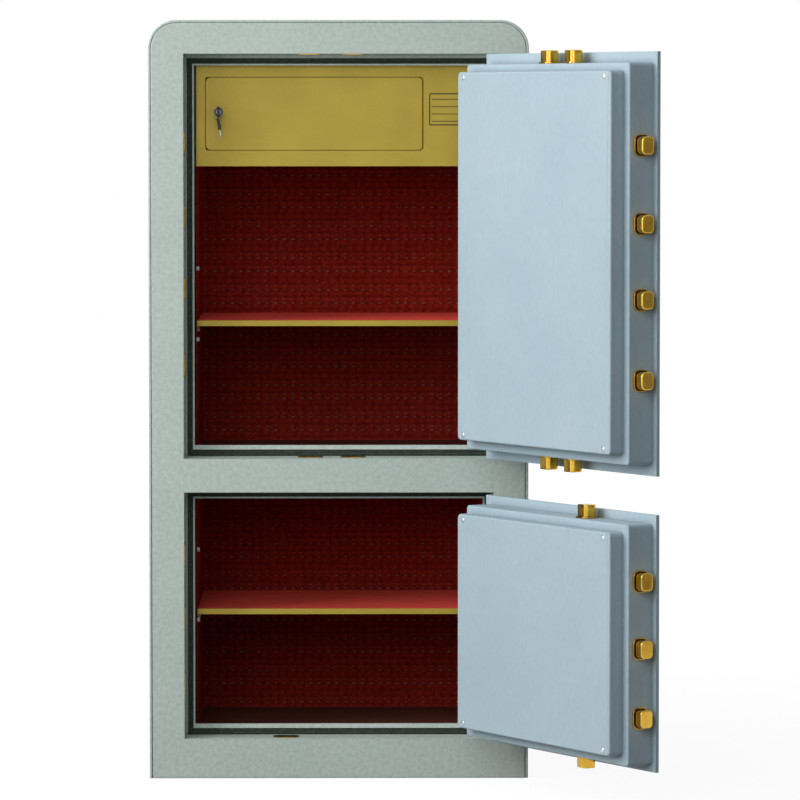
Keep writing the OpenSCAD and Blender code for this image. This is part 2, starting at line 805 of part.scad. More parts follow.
// Turns what is drawn with the door shut to the open angle
module hung()
    translate([pivot_x, pivot_y, 0]) rotate([0, 0, open_angle])
        translate([-pivot_x, -pivot_y, 0]) children();

// Middles of the hinges on one door
function hinge_z(lo, hi, inset) = [lo + inset, hi - inset];

// Fixed half: leaf on the frame, two knuckles and the pin
module fixed_hinge(z) {
    leaf_x = pivot_x + barrel_r + leaf_gap;
    translate([0, 0, z - hinge_len / 2]) {
        slab(leaf_x, leaf_x + frame_leaf_w, front_y - leaf_t, front_y, 0, hinge_len);
        for (z0 = [0, hinge_len - knuckle]) {
            translate([pivot_x, pivot_y, z0]) cylinder(h = knuckle, r = barrel_r);
            slab(pivot_x, leaf_x + over, front_y - hinge_arm_t, front_y - hinge_arm_gap, z0,
                z0 + knuckle);
        }
        translate([pivot_x, pivot_y, -pin_end]) cylinder(h = hinge_len + 2 * pin_end, r = pin_r);
    }
}

module hinge_pins() color(steel_grey)
    for (z = concat(hinge_z(upper_lo, upper_hi, upper_hinge_in),
            hinge_z(lower_lo, lower_hi, lower_hinge_in)))
        fixed_hinge(z);

// Moving half: leaf on the door plate and the middle knuckle
module moving_hinge(z) {
    translate([0, 0, z - hinge_len / 2])
        slab(plate_hinge - leaf_in - leaf_w, plate_hinge - leaf_in, front_y - leaf_t, front_y + over, 0,
            hinge_len);
    translate([0, 0, z - knuckle / 2 + touch]) {
        translate([pivot_x, pivot_y, 0]) cylinder(h = knuckle - 2 * touch, r = barrel_r);
        slab(plate_hinge - leaf_in - over, pivot_x, front_y - hinge_arm_t, front_y - hinge_arm_gap, 0,
            knuckle - 2 * touch);
    }
}

module door_plate(lo, hi, inset, spindle_z) color(door_blue) difference() {
    union() {
        slab(plate_free, plate_hinge, front_y, plate_back, lo, hi);
        for (z = hinge_z(lo, hi, inset)) moving_hinge(z);
    }
    for (z = hinge_z(lo, hi, inset))
        translate([pivot_x, pivot_y, z - hinge_len]) cylinder(h = 2 * hinge_len, r = pin_r + running);
    round_bar(spindle_x, spindle_z, front_y - over, plate_back + over, spindle_r + running);
    children();
}

module upper_door_plate() hung() door_plate(upper_lo, upper_hi, upper_hinge_in, upper_spindle_z)
    round_bar(spindle_x, cable_z, front_y - over, plate_back + over, cable_r);

module lower_door_plate() hung() door_plate(lower_lo, lower_hi, lower_hinge_in, lower_spindle_z)
    round_bar(spindle_x, safe_lock_z, front_y - over, plate_back + over, safe_lock_r);

// One guide's section at each bolt, grown by g, from d0 to d1 measured outwards from the case wall
module guide_stubs(sides, ends, lo, hi, g, d0, d1) {
    for (z = sides)
        along_x(case_x0 - d1, case_x0 - d0) translate([bolt_y, z]) rotate(90)
            bolt_section(bolt_w, bolt_t, g);
    for (x = ends) {
        translate([x, bolt_y, hi + d0]) linear_extrude(d1 - d0) bolt_section(bolt_w, bolt_t, g);
        translate([x, bolt_y, lo - d1]) linear_extrude(d1 - d0) bolt_section(bolt_w, bolt_t, g);
    }
}

module bolt_case(lo, hi, cover_lo, cover_hi, sides, ends) color(door_blue) difference() {
    along_y(plate_back, case_y) round_box(case_x0, case_x1, lo, hi, case_r);
    along_y(plate_back - over, case_y - case_t)
        round_box(case_x0 + case_t, case_x1 - case_t, lo + case_t, hi - case_t, case_r - case_t);
    guide_stubs(sides, ends, lo, hi, bolt_play + guide_wall, -case_t - over, over);
    cover_screw_places(cover_lo, cover_hi)
        round_bar(0, 0, case_y - case_t - over, case_y + over, screw_r);
}

module bolt_guides(lo, hi, sides, ends) color(brass) difference() {
    union() {
        guide_stubs(sides, ends, lo, hi, guide_flange, 0, guide_proud);
        guide_stubs(sides, ends, lo, hi, bolt_play + guide_wall, -guide_inside, over);
    }
    guide_stubs(sides, ends, lo, hi, bolt_play, -guide_inside - over, guide_proud + over);
    guide_stubs(sides, ends, lo, hi, guide_gap, touch, guide_proud + over);
}

function cover_lo(case_lo) = case_lo + cover_in_bottom;
function cover_hi(case_hi) = case_hi - cover_in_top;

module cover_screw_places(lo, hi)
    for (x = [cover_x0 + cover_screw_in, cover_x1 - cover_screw_in],
        z = [lo + cover_screw_down, hi - cover_screw_down])
        translate([x, 0, z]) children();

module inner_cover(lo, hi) color(door_blue) difference() {
    union() {
        difference() {
            along_y(case_y, case_y + cover_d) round_box(cover_x0, cover_x1, lo, hi, cover_r);
            along_y(case_y - over, case_y + cover_d - cover_t)
                round_box(cover_x0 + cover_t, cover_x1 - cover_t, lo + cover_t, hi - cover_t,
                    cover_r - cover_t);
        }
        cover_screw_places(lo, hi) round_bar(0, 0, case_y, case_y + cover_d - cover_t / 2, post_r);
    }
    cover_screw_places(lo, hi) round_bar(0, 0, case_y - over, case_y + cover_d + over, screw_r + slide);
}

module cover_screws(lo, hi) color("#d5dde0") cover_screw_places(lo, hi) {
    round_bar(0, 0, case_y - case_t - screw_grip, case_y + cover_d + screw_head_t / 2, screw_r);
    round_bar(0, 0, case_y + cover_d, case_y + cover_d + screw_head_t, screw_head_r);
}

module upper_bolt_case() hung() bolt_case(upper_case_lo, upper_case_hi, cover_lo(upper_case_lo),
    cover_hi(upper_case_hi), upper_side_z, upper_end_x);

module lower_bolt_case() hung() bolt_case(lower_case_lo, lower_case_hi, cover_lo(lower_case_lo),
    cover_hi(lower_case_hi), lower_side_z, lower_end_x);

module upper_bolt_guides() hung()
    bolt_guides(upper_case_lo, upper_case_hi, upper_side_z, upper_end_x);

module lower_bolt_guides() hung()
    bolt_guides(lower_case_lo, lower_case_hi, lower_side_z, lower_end_x);

module upper_cover() hung() inner_cover(cover_lo(upper_case_lo), cover_hi(upper_case_hi));

module lower_cover() hung() inner_cover(cover_lo(lower_case_lo), cover_hi(lower_case_hi));

module upper_cover_screws() hung() cover_screws(cover_lo(upper_case_lo), cover_hi(upper_case_hi));

module lower_cover_screws() hung() cover_screws(cover_lo(lower_case_lo), cover_hi(lower_case_hi));

// Points of a rack along u, with its teeth towards +v and a tooth space at u = 0
function rack_points(first, last, body) = concat(
    [[first * tooth_pitch, -body]],
    [for (i = [first:last]) each rack_tooth((i + 0.5) * tooth_pitch)],
    [[(last + 1) * tooth_pitch, -body]]);

function rack_tooth(c) = let (half = tooth_pitch / 4 - tooth_play / 2,
    tip = half - tooth_up * tan(pressure), root = half + tooth_down * tan(pressure))
    [[c - root, -tooth_down], [c - tip, tooth_up], [c + tip, tooth_up], [c + root, -tooth_down]];

// Involute gear teeth: the flank's angle from the tooth's middle at radius r, in degrees
function involute(a) = tan(a) * 180 / PI - a;
function flank(r) = 90 / gear_teeth - tooth_play / 2 / gear_r * 180 / PI
    + involute(pressure) - involute(acos(min(1, base_r / r)));
flank_r = [for (i = [0:flank_steps]) base_r + (gear_tip - base_r) * i / flank_steps];

function polar(r, a) = [r * cos(a), r * sin(a)];

function gear_points() = [for (k = [0:gear_teeth - 1]) let (a = 360 * k / gear_teeth)
    each concat([polar(gear_root, a - flank(base_r))], [for (r = flank_r) polar(r, a - flank(r))],
        [for (i = [flank_steps:-1:0]) polar(flank_r[i], a + flank(flank_r[i]))],
        [polar(gear_root, a + flank(base_r))])];

module drive_gear(z) color(steel_grey) translate([spindle_x, 0, z]) difference() {
    along_y(gear_y, gear_y + gear_w) rotate(drive_turn) polygon(gear_points());
    round_bar(0, 0, gear_y - over, gear_y + gear_w + over, spindle_r + shrink);
}

module upper_drive_gear() hung() drive_gear(upper_spindle_z);

module lower_drive_gear() hung() drive_gear(lower_spindle_z);

// Side bolts on an upright bar, with a rack that runs under the gear; drawn thrown
module side_bolts(sides, spindle_z) color(brass) {
    for (z = sides)
        along_x(side_tip, carriage_x + over) translate([bolt_y, z]) rotate(90)
            bolt_section(bolt_w, bolt_t);
    slab(carriage_x, carriage_x + carriage_w, bolt_y - bolt_t / 2, bolt_y + bolt_t / 2,
        min(sides) - bolt_w / 2, max(sides) + bolt_w / 2);
    along_y(arm_y, arm_y + arm_t) {
        translate([spindle_x, spindle_z - gear_r])
            polygon(rack_points(-rack_run, rack_tail - 1, rack_body));
        translate([carriage_x, spindle_z - gear_r - rack_body])
            square([spindle_x - rack_run * tooth_pitch - carriage_x + over, rod_w]);
    }
}

module upper_side_bolts() hung() translate([bolt_drawn, 0, 0]) side_bolts(upper_side_z, upper_spindle_z);

module lower_side_bolts() hung() translate([bolt_drawn, 0, 0]) side_bolts(lower_side_z, lower_spindle_z);

// End bolts above the gear, with a rack on the gear's left that runs down to pull them in
module top_bolts(ends, case_hi, tip, spindle_z) color(brass) {
    bar_z = case_hi - bolt_throw - bar_in;
    rod_x = spindle_x - gear_r - rack_body;
    for (x = ends)
        translate([x, bolt_y, bar_z - bar_w / 2]) linear_extrude(tip - bar_z + bar_w / 2)
            bolt_section(bolt_w, bolt_t);
    along_y(rod_y, rod_y + rod_t) {
        translate([spindle_x - gear_r, spindle_z]) rotate(90) mirror([0, 1])
            polygon(rack_points(-rack_tail, rack_run - 1, rack_body));
        translate([rod_x, spindle_z]) square([rod_w, bar_z - spindle_z]);
        translate([rod_x, bar_z - bar_w]) square([max(ends) - rod_x, bar_w]);
    }
}

// End bolts below the gear, with a rack on the gear's right that runs up to pull them in
module bottom_bolts(ends, case_lo, tip, spindle_z) color(brass) {
    bar_z = case_lo + bolt_throw + bar_in;
    rod_x = spindle_x + gear_r + tooth_down;
    reach = concat(ends, [rod_x + rod_w]);
    for (x = ends)
        translate([x, bolt_y, tip]) linear_extrude(bar_z + bar_w / 2 - tip)
            bolt_section(bolt_w, bolt_t);
    along_y(rod_y, rod_y + rod_t) {
        translate([spindle_x + gear_r, spindle_z]) rotate(90)
            polygon(rack_points(-rack_run, rack_tail - 1, rack_body));
        translate([rod_x, bar_z]) square([rod_w, spindle_z - bar_z]);
        translate([min(reach), bar_z]) square([max(reach) - min(reach), bar_w]);
    }
}

module upper_top_bolts() hung() translate([0, 0, -bolt_drawn])
    top_bolts(upper_end_x, upper_case_hi, upper_hi + upper_end_reach, upper_spindle_z);

module upper_bottom_bolts() hung() translate([0, 0, bolt_drawn])
    bottom_bolts(upper_end_x, upper_case_lo, upper_lo - upper_end_reach, upper_spindle_z);

module lower_top_bolt() hung() translate([0, 0, -bolt_drawn])
    top_bolts(lower_end_x, lower_case_hi, lower_hi + lower_end_reach, lower_spindle_z);

module lower_bottom_bolt() hung() translate([0, 0, bolt_drawn])
    bottom_bolts(lower_end_x, lower_case_lo, lower_lo - lower_end_reach, lower_spindle_z);

// Lever that hangs down while the bolts are thrown, with its spindle through the door
module handle(z) color(brass) translate([spindle_x, 0, z]) rotate([0, -drive_turn, 0]) {
    lever_y = front_y - lever_out;
    round_bar(0, 0, lever_y, gear_y + gear_w + over, spindle_r);
    round_bar(0, 0, lever_y - lever_r - handle_cap, front_y - rosette_t - touch,
        spindle_r + handle_boss);
    translate([0, lever_y, -lever_len]) rotate_extrude() intersection() {
        union() {
            circle(r = lever_r);
            translate([-lever_r, 0]) square([2 * lever_r, lever_len]);
        }
        translate([0, -lever_r]) square([lever_r, lever_len + lever_r]);
    }
}

module upper_handle() hung() handle(upper_spindle_z);

module lower_handle() hung() handle(lower_spindle_z);

module rosette(z) color(brass) difference() {
    round_bar(spindle_x, z, front_y - rosette_t, front_y, rosette_r);
    round_bar(spindle_x, z, front_y - rosette_t - over, front_y + over, spindle_r + touch);
}

module upper_rosette() hung() rosette(upper_spindle_z);

module lower_rosette() hung() rosette(lower_spindle_z);

function key_x(k) = spindle_x + (k % 3 - 1) * key_pitch_x;
function key_z(k) = pad_z0 + key_first_z + (3 - floor(k / 3)) * key_pitch_z;

module keypad_case() hung() color(plastic_black) difference() {
    along_y(pad_front, front_y)
        round_box(spindle_x - pad_w / 2, spindle_x + pad_w / 2, pad_z0, pad_z0 + pad_h, pad_r);
    for (k = [0:11])
        along_y(pad_front - over, key_back + key_floor)
            translate([key_x(k), key_z(k)])
                round_rect(key_w + 2 * key_play, key_h + 2 * key_play, key_r);
    along_y(pad_front - over, pad_front + window_d)
        round_box(spindle_x - window_w / 2, spindle_x + window_w / 2, pad_z0 + window_z,
            pad_z0 + window_z + window_h, window_r);
}

module pad_key(k) hung() color("#c8ccd0")
    along_y(pad_front - key_proud, key_back)
        translate([key_x(k), key_z(k)]) round_rect(key_w, key_h, key_r - key_play);

// Sealed lock body that holds the side bolts' bar until the right code is given
module solenoid_lock() hung() color(steel_grey) {
    x0 = carriage_x + carriage_w + bolt_throw + over;
    z0 = upper_spindle_z + gear_r + rack_body + rod_w;
    slab(x0, x0 + solenoid_w, plate_back, plate_back + solenoid_t, z0, z0 + solenoid_h);
    translate([x0 + solenoid_w / 2, plate_back + solenoid_t / 2, z0 + solenoid_h - over])
        cylinder(h = rod_w, r = solenoid_t / 3);
}

module lower_lock_body() hung() color(steel_grey) difference() {
    union() {
        round_bar(spindle_x, safe_lock_z, front_y - safe_rim_t, front_y, safe_lock_r + safe_rim_w);
        round_bar(spindle_x, safe_lock_z, front_y - over, plate_back + safe_lock_in, safe_lock_r - slide);
    }
    round_bar(spindle_x, safe_lock_z, front_y - safe_rim_t - over, plate_back + safe_lock_in + over,
        safe_plug_r + running);
}

module lower_lock_plug() hung() color(brass) difference() {
    union() {
        round_bar(spindle_x, safe_lock_z, plug_front, plate_back + safe_lock_in + safe_tail_t, safe_plug_r);
        along_y(plate_back + safe_lock_in + touch, plate_back + safe_lock_in + safe_tail_t)
            translate([spindle_x + safe_plug_r, safe_lock_z])
                round_rect(4 * safe_plug_r, 2 * safe_plug_r, safe_plug_r - touch);
    }
    slab(spindle_x - key_slot / 2, spindle_x + key_slot / 2, plug_front - over, plate_back,
        safe_lock_z - 2 * key_slot, safe_lock_z + 2 * key_slot);
}

outer_shell();
back_plate();
base_plate();
front_frame();
fire_fill();
upper_liner();
lower_liner();
carpet_lining();
door_seals();
strike_bushes();
hinge_pins();
upper_shelf();
lower_shelf();
shelf_felts();
shelf_pegs();
locker_case();
locker_door();
locker_lock_body();
locker_lock_plug();
locker_key();
key_ring();
spare_key();
upper_door_plate();
upper_bolt_case();
upper_cover();
upper_cover_screws();
upper_bolt_guides();
keypad_case();
solenoid_lock();
upper_rosette();
upper_side_bolts();
upper_top_bolts();
upper_bottom_bolts();
upper_handle();
upper_drive_gear();
for (k = [0:11]) pad_key(k);
lower_door_plate();
lower_bolt_case();
lower_cover();
lower_cover_screws();
lower_bolt_guides();
lower_rosette();
lower_lock_body();
lower_lock_plug();
lower_side_bolts();
lower_top_bolt();
lower_bottom_bolt();
lower_handle();
lower_drive_gear();
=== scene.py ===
# Two-door electronic safe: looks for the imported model, in metres, front towards -Y
import json
import math

import bmesh
import bpy
import numpy as np
from mathutils import Matrix, Vector

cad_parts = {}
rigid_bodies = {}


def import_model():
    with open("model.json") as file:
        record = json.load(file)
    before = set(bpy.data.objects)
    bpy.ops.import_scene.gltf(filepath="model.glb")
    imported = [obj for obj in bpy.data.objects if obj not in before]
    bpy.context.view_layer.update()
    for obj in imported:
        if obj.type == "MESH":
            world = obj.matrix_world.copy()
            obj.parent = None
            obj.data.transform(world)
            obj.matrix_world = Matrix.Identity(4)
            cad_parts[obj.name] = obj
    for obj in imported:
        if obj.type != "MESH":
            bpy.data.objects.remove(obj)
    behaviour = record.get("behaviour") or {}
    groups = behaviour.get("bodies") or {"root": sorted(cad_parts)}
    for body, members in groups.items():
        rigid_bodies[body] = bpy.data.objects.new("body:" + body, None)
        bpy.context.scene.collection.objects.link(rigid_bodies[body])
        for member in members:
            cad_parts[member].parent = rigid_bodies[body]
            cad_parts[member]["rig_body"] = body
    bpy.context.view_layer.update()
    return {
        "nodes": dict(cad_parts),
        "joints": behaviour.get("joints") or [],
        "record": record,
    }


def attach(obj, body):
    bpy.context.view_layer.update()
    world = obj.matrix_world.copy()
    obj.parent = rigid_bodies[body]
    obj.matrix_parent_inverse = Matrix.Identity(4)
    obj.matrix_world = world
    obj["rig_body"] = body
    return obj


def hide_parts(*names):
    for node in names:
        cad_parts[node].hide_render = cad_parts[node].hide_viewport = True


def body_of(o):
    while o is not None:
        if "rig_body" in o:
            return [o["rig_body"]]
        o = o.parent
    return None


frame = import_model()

nodes = frame["nodes"]
joints = {joint["name"]: joint for joint in frame["joints"]}
mm = 0.001
between = 0.48  # a height within the bar between the two compartments

# The doors stand open. Their own axes, as they stand, come from the joints that slide along them.
doorPin = np.array(joints["upper_door_swing"]["pos_m"]) * (1, 1, 0)
doorAxes = np.array([joints["upper_side_bolts_slide"]["axis"], joints["key_1_press"]["axis"], (0, 0, 1)])


def hang(points):
    # a point of the shut door, turned open with it: pin + (point - pin) laid along the door's axes
    return doorPin + (np.asarray(points, float) - doorPin) @ doorAxes


def shut(points):
    # the way back: a point of the open door, where it would be with the door shut
    return doorPin + (np.asarray(points, float) - doorPin) @ doorAxes.T


def read(items, key, width=1):
    # a property of every item as one array: whole numbers, or rows of width real ones
    values = np.empty(len(items) * width, np.int32 if width == 1 else np.float32)
    items.foreach_get(key, values)
    return values if width == 1 else values.reshape(-1, width).astype(float)


def nodePoints(node):
    # every vertex of a CAD node as one array
    return read(nodes[node].data.vertices, "co", 3)


def cadBoxOf(node):
    # lowest and highest corner of a node as it stands
    points = nodePoints(node)
    return points.min(0), points.max(0)


def shutBox(node):
    # lowest and highest corner of a door's node, measured with the door shut
    points = shut(nodePoints(node))
    return points.min(0), points.max(0)


print("stage: frame read,", len(nodes), "nodes")

# Colours and materials


def linear(colour):
    # sRGB hex to linear: c / 12.92 up to 0.04045, otherwise ((c + 0.055) / 1.055) ** 2.4
    c = np.array([int(colour[i:i + 2], 16) for i in (1, 3, 5)]) / 255
    return (*np.where(c <= 0.04045, c / 12.92, ((c + 0.055) / 1.055) ** 2.4).tolist(), 1.0)


def fill(tree, node, settings):
    # each setting goes to the node's input or property of that name; another node's output is linked in
    for name, value in settings.items():
        if isinstance(value, bpy.types.NodeSocket):
            tree.links.new(value, node.inputs[name])
        elif isinstance(name, int) or name in node.inputs:
            node.inputs[name].default_value = value
        else:
            setattr(node, name, value)
    return node


def addNode(tree, kind, settings=None):
    # one shader node with its settings and links
    return fill(tree, tree.nodes.new("ShaderNode" + kind), settings or {})


def emptyMaterial(name):
    # a material with nothing in its tree yet
    material = bpy.data.materials.new(name)
    material.use_nodes = True
    material.node_tree.nodes.clear()
    return material, material.node_tree


def newMaterial(name, shaderSettings):
    # a material with one Principled shader, and the Object coordinates that its patterns read
    material, tree = emptyMaterial(name)
    shader = addNode(tree, "BsdfPrincipled", shaderSettings)
    addNode(tree, "OutputMaterial", {"Surface": shader.outputs[0]})
    return material, tree, shader, addNode(tree, "TexCoord").outputs["Object"]


def pattern(tree, place, size, stretch=(1, 1, 1), detail=3, roughness=0.5):
    # noise whose lumps are about size metres across, drawn out along an axis where stretch is over 1
    spread = addNode(tree, "Mapping", {"Scale": tuple(1 / s for s in stretch), "Vector": place})
    lumps = 0.6  # a noise of scale 1 has lumps of about this size
    noise = addNode(tree, "TexNoise", {"Scale": lumps / size, "Detail": detail, "Roughness": roughness,
                                       "Vector": spread.outputs[0]})
    return noise.outputs["Fac"]


def shades(tree, amount, colours, span=(0.3, 0.7)):
    # colours laid evenly over the span of a 0 to 1 pattern
    ramp = addNode(tree, "ValToRGB", {"Fac": amount})
    places = np.linspace(span[0], span[1], len(colours)).tolist()
    stops = ramp.color_ramp.elements
    while len(stops) < len(colours):
        stops.new(0.5)
    for stop, place, colour in zip(stops, places, colours):
        stop.position, stop.color = place, linear(colour)
    return ramp.outputs["Color"]


def rangeOf(tree, amount, low, high, span=(0.3, 0.7)):
    # a pattern that runs over the span, spread from low to high
    return addNode(tree, "MapRange", {"From Min": span[0], "From Max": span[1], "To Min": low,
                                      "To Max": high, "Value": amount}).outputs[0]


def worked(tree, operation, a, b=0.0):
    # one step of arithmetic on sockets or plain numbers
    return addNode(tree, "Math", {"operation": operation, 0: a, 1: b}).outputs[0]


def mixed(tree, factor, a, b, blend="MIX"):
    # two colours mixed; factor and colours are sockets or plain values, and a socket's lone number is a grey
    settings = {"data_type": "RGBA", "blend_type": blend, 0: factor, 6: a, 7: b}
    return addNode(tree, "Mix", settings).outputs[2]


def relief(tree, shader, height, depth, strength=1.0):
    # bumps of that depth in metres
    bump = addNode(tree, "Bump", {"Distance": depth, "Strength": strength, "Height": height})
    tree.links.new(bump.outputs[0], shader.inputs["Normal"])


def openness(tree, reach, samples, low, span):
    # 1 on an open face, falling to low in seams and corners, where little of the air within reach is open
    clear = addNode(tree, "AmbientOcclusion", {"Distance": reach, "samples": samples}).outputs["AO"]
    return rangeOf(tree, clear, low, 1.0, span)


def seamShaded(tree, reach, tone, amount):
    # painted shade: a tone darkened by up to amount in seams and inside corners, where little light reaches
    return mixed(tree, 1.0, tone, openness(tree, reach, 6, 1 - amount, (0.35, 0.85)), "MULTIPLY")


def powderCoat():
    # Powder coat, sprayed and baked: satin, with the fine dimples of orange peel and a faint cloudiness. Real
    # orange peel is 1 mm across; here it is 2.8 mm, so that it shows from the camera
    look = {"tones": ("#bfcdc5", "#c8d6ce", "#d1ded6"), "cloud": 60 * mm, "mottle": 4 * mm, "peel": 2.8 * mm,
            "depth": 0.12 * mm, "gloss": (0.45, 0.58), "seam": 5 * mm, "grime": 0.6}
    material, tree, shader, place = newMaterial("powderCoat", {})
    cloud = pattern(tree, place, look["cloud"], detail=5, roughness=0.6)
    mottle = pattern(tree, place, look["mottle"], detail=4, roughness=0.6)
    tone = shades(tree, mixed(tree, 0.8, cloud, mottle), look["tones"], span=(0.38, 0.62))
    # painted shade: the tone is darkened in seams and inside corners, where little light reaches
    fill(tree, shader, {"Base Color": seamShaded(tree, look["seam"], tone, look["grime"]),
                        "Roughness": rangeOf(tree, mottle, *look["gloss"])})
    relief(tree, shader, pattern(tree, place, look["peel"], detail=2), look["depth"], strength=0.7)
    return material


def doorEnamel():
    # Stoving enamel over rolled sheet: pale blue, semi-gloss, with faint upright strokes of the roller
    look = {"tones": ("#aac0cb", "#b0c5d0", "#b6cad5"), "stroke": 3.4 * mm, "stretch": 1.8, "cloud": 90 * mm,
            "depth": 0.14 * mm, "gloss": (0.42, 0.55), "seam": 14 * mm, "grime": 0.45}
    material, tree, shader, place = newMaterial("doorEnamel", {})
    stroke = pattern(tree, place, look["stroke"], (1, 1, look["stretch"]), 5, 0.62)
    cloud = pattern(tree, place, look["cloud"], detail=4)
    tone = shades(tree, mixed(tree, 0.45, stroke, cloud), look["tones"], span=(0.36, 0.64))
    # painted shade: the tone is darkened in seams and inside corners, where little light reaches
    fill(tree, shader, {"Base Color": seamShaded(tree, look["seam"], tone, look["grime"]),
                        "Roughness": rangeOf(tree, stroke, *look["gloss"])})
    relief(tree, shader, stroke, look["depth"], strength=0.6)
    return material


def goldLacquer():
    # Gold metallic lacquer: flakes in a clear binder, so it is soft and warm and only part metal
    look = {"tones": ("#a8912c", "#ae9730", "#b49d34"), "cloud": 45 * mm, "flake": 1.6 * mm,
            "depth": 0.03 * mm}
    material, tree, shader, place = newMaterial("goldLacquer", {"Metallic": 0.3, "Roughness": 0.46})
    cloud = pattern(tree, place, look["cloud"], detail=4)
    flake = pattern(tree, place, look["flake"], detail=2)
    both = mixed(tree, 0.3, cloud, flake)
    fill(tree, shader, {"Base Color": shades(tree, both, look["tones"], span=(0.36, 0.64))})
    relief(tree, shader, flake, look["depth"], strength=0.5)
    return material


def brassPlate():
    # Brass plating, polished: deep yellow, with a slight wave that breaks up what it mirrors, and painted
    # shade, near black, in its narrow recesses, where little light gets in
    look = {"tones": ("#c69a36", "#d2a742", "#dcb34e"), "smear": 9 * mm, "wave": 6 * mm, "depth": 0.02 * mm,
            "gloss": (0.1, 0.2), "recess": 5 * mm, "polish": "#3c2806"}
    material, tree, shader, place = newMaterial("brassPlate", {"Metallic": 1.0})
    smear = pattern(tree, place, look["smear"], detail=4)
    # painted shade: the recesses take the near-black tone where little of the air within reach is open
    bright = openness(tree, look["recess"], 8, 0.0, (0.3, 0.75))
    tone = mixed(tree, bright, linear(look["polish"]), shades(tree, smear, look["tones"]))
    fill(tree, shader, {"Base Color": tone, "Roughness": rangeOf(tree, smear, *look["gloss"])})
    relief(tree, shader, pattern(tree, place, look["wave"]), look["depth"], strength=0.5)
    return material


def steel(name, tones, gloss, grain=0.5 * mm, along=(1, 1, 30), metallic=1.0):
    # Steel as it comes from the machine: grain lines along one axis, a little darker where oil stays
    look = {"film": 25 * mm, "depth": 0.01 * mm}
    material, tree, shader, place = newMaterial(name, {"Metallic": metallic})
    lines = pattern(tree, place, grain, along)
    film = pattern(tree, place, look["film"], detail=4)
    fill(tree, shader, {"Base Color": shades(tree, mixed(tree, 0.5, lines, film), tones),
                        "Roughness": rangeOf(tree, film, *gloss)})
    relief(tree, shader, lines, look["depth"], strength=0.4)
    return material


def moulded(name, tones, gloss, grain=1.2 * mm, depth=0.05 * mm):
    # Moulded plastic or nylon: an even colour with the spark-eroded grain of its mould
    material, tree, shader, place = newMaterial(name, {"IOR": 1.5})
    spots = pattern(tree, place, grain, detail=2)
    film = pattern(tree, place, 18 * mm)
    fill(tree, shader, {"Base Color": shades(tree, mixed(tree, 0.5, spots, film), tones),
                        "Roughness": rangeOf(tree, film, *gloss)})
    relief(tree, shader, spots, depth, strength=0.6)
    return material


def ribbedCarpet():
    # Needle-punched carpet: matt dark red fibres in ribs, with pale specks in columns, in two strong rows and
    # two faint ones to a repeat
    look = {"fibres": ("#7e1f18", "#9c2a21", "#b23426"), "fibre": 2.6 * mm, "depth": 0.5 * mm,
            "sheen": "#7a1a14", "speck": "#9c7a66", "speckSize": (3.4 * mm, 1.9 * mm), "column": 14.4 * mm,
            "repeat": 52.8 * mm, "rows": ((0, 0.7), (21.6 * mm, 0.55), (28.5 * mm, 0.3), (7 * mm, 0.3)),
            "blur": (0.2, 1.2), "stray": (7 * mm, 5 * mm), "patch": 6 * mm,
            "patchy": (0.25, 1.0, (0.36, 0.6)), "upright": (0.86, 1.1, (1 * mm, 6.5 * mm)),
            "level": (0.84, 1.1, (0.5 * mm, 4.5 * mm)), "levels": 5, "floor": "#5c4236",
            "trodden": (0.0, 0.8, (0.5, 0.9)), "backing": "#160b08", "cut": (-0.1757, -0.1745)}
    material, tree, shader, place = newMaterial("ribbedCarpet", {
        "Roughness": 1.0, "Specular IOR Level": 0.05, "Sheen Weight": 0.05, "Sheen Roughness": 0.6,
        "Sheen Tint": linear(look["sheen"])})
    fibre = pattern(tree, place, look["fibre"], detail=4, roughness=0.7)
    tone = shades(tree, fibre, look["fibres"], span=(0.34, 0.66))
    parts = addNode(tree, "SeparateXYZ", {"Vector": place}).outputs
    # the walls run along X or along Y, so their sum counts the columns on both
    along = worked(tree, "ADD", parts["X"], parts["Y"])
    stray = worked(tree, "MULTIPLY", pattern(tree, place, look["stray"][0], detail=2), look["stray"][1])
    # a speck is an ellipse: (way to its column / half width) ** 2 + (way to its row / half height) ** 2
    wide, high = look["speckSize"]
    aside = worked(tree, "PINGPONG", worked(tree, "ADD", along, stray), look["column"] / 2)
    aside = worked(tree, "DIVIDE", aside, wide)
    amount = 0.0
    for row, share in look["rows"]:
        above = worked(tree, "PINGPONG", worked(tree, "SUBTRACT", parts["Z"], row), look["repeat"] / 2)
        above = worked(tree, "DIVIDE", above, high)
        reach = worked(tree, "ADD", *(worked(tree, "MULTIPLY", way, way) for way in (aside, above)))
        amount = worked(tree, "MAXIMUM", amount, rangeOf(tree, reach, share, 0.0, look["blur"]))
    patchy = rangeOf(tree, pattern(tree, place, look["patch"]), *look["patchy"])
    amount = worked(tree, "MULTIPLY", amount, patchy)
    # the fibres between columns and rows stand a little lighter: a product of two triangle waves
    columns = rangeOf(tree, worked(tree, "PINGPONG", along, look["column"] / 2), *look["upright"])
    levels = worked(tree, "PINGPONG", parts["Z"], look["repeat"] / look["levels"] / 2)
    rows = rangeOf(tree, levels, *look["level"])
    tone = mixed(tree, 1.0, tone, worked(tree, "MULTIPLY", columns, rows), "MULTIPLY")
    worn = mixed(tree, amount, tone, linear(look["speck"]))
    # faces that look up take the brown-grey floor tone
    normal = addNode(tree, "NewGeometry").outputs["Normal"]
    level = addNode(tree, "SeparateXYZ", {"Vector": normal}).outputs["Z"]
    upTinted = mixed(tree, rangeOf(tree, level, *look["trodden"]), worn, linear(look["floor"]))
    # the cut edge along the front shows the dark backing
    cut = rangeOf(tree, parts["Y"], 1.0, 0.0, look["cut"])
    fill(tree, shader, {"Base Color": mixed(tree, cut, upTinted, linear(look["backing"]))})
    relief(tree, shader, fibre, look["depth"], strength=0.8)
    return material


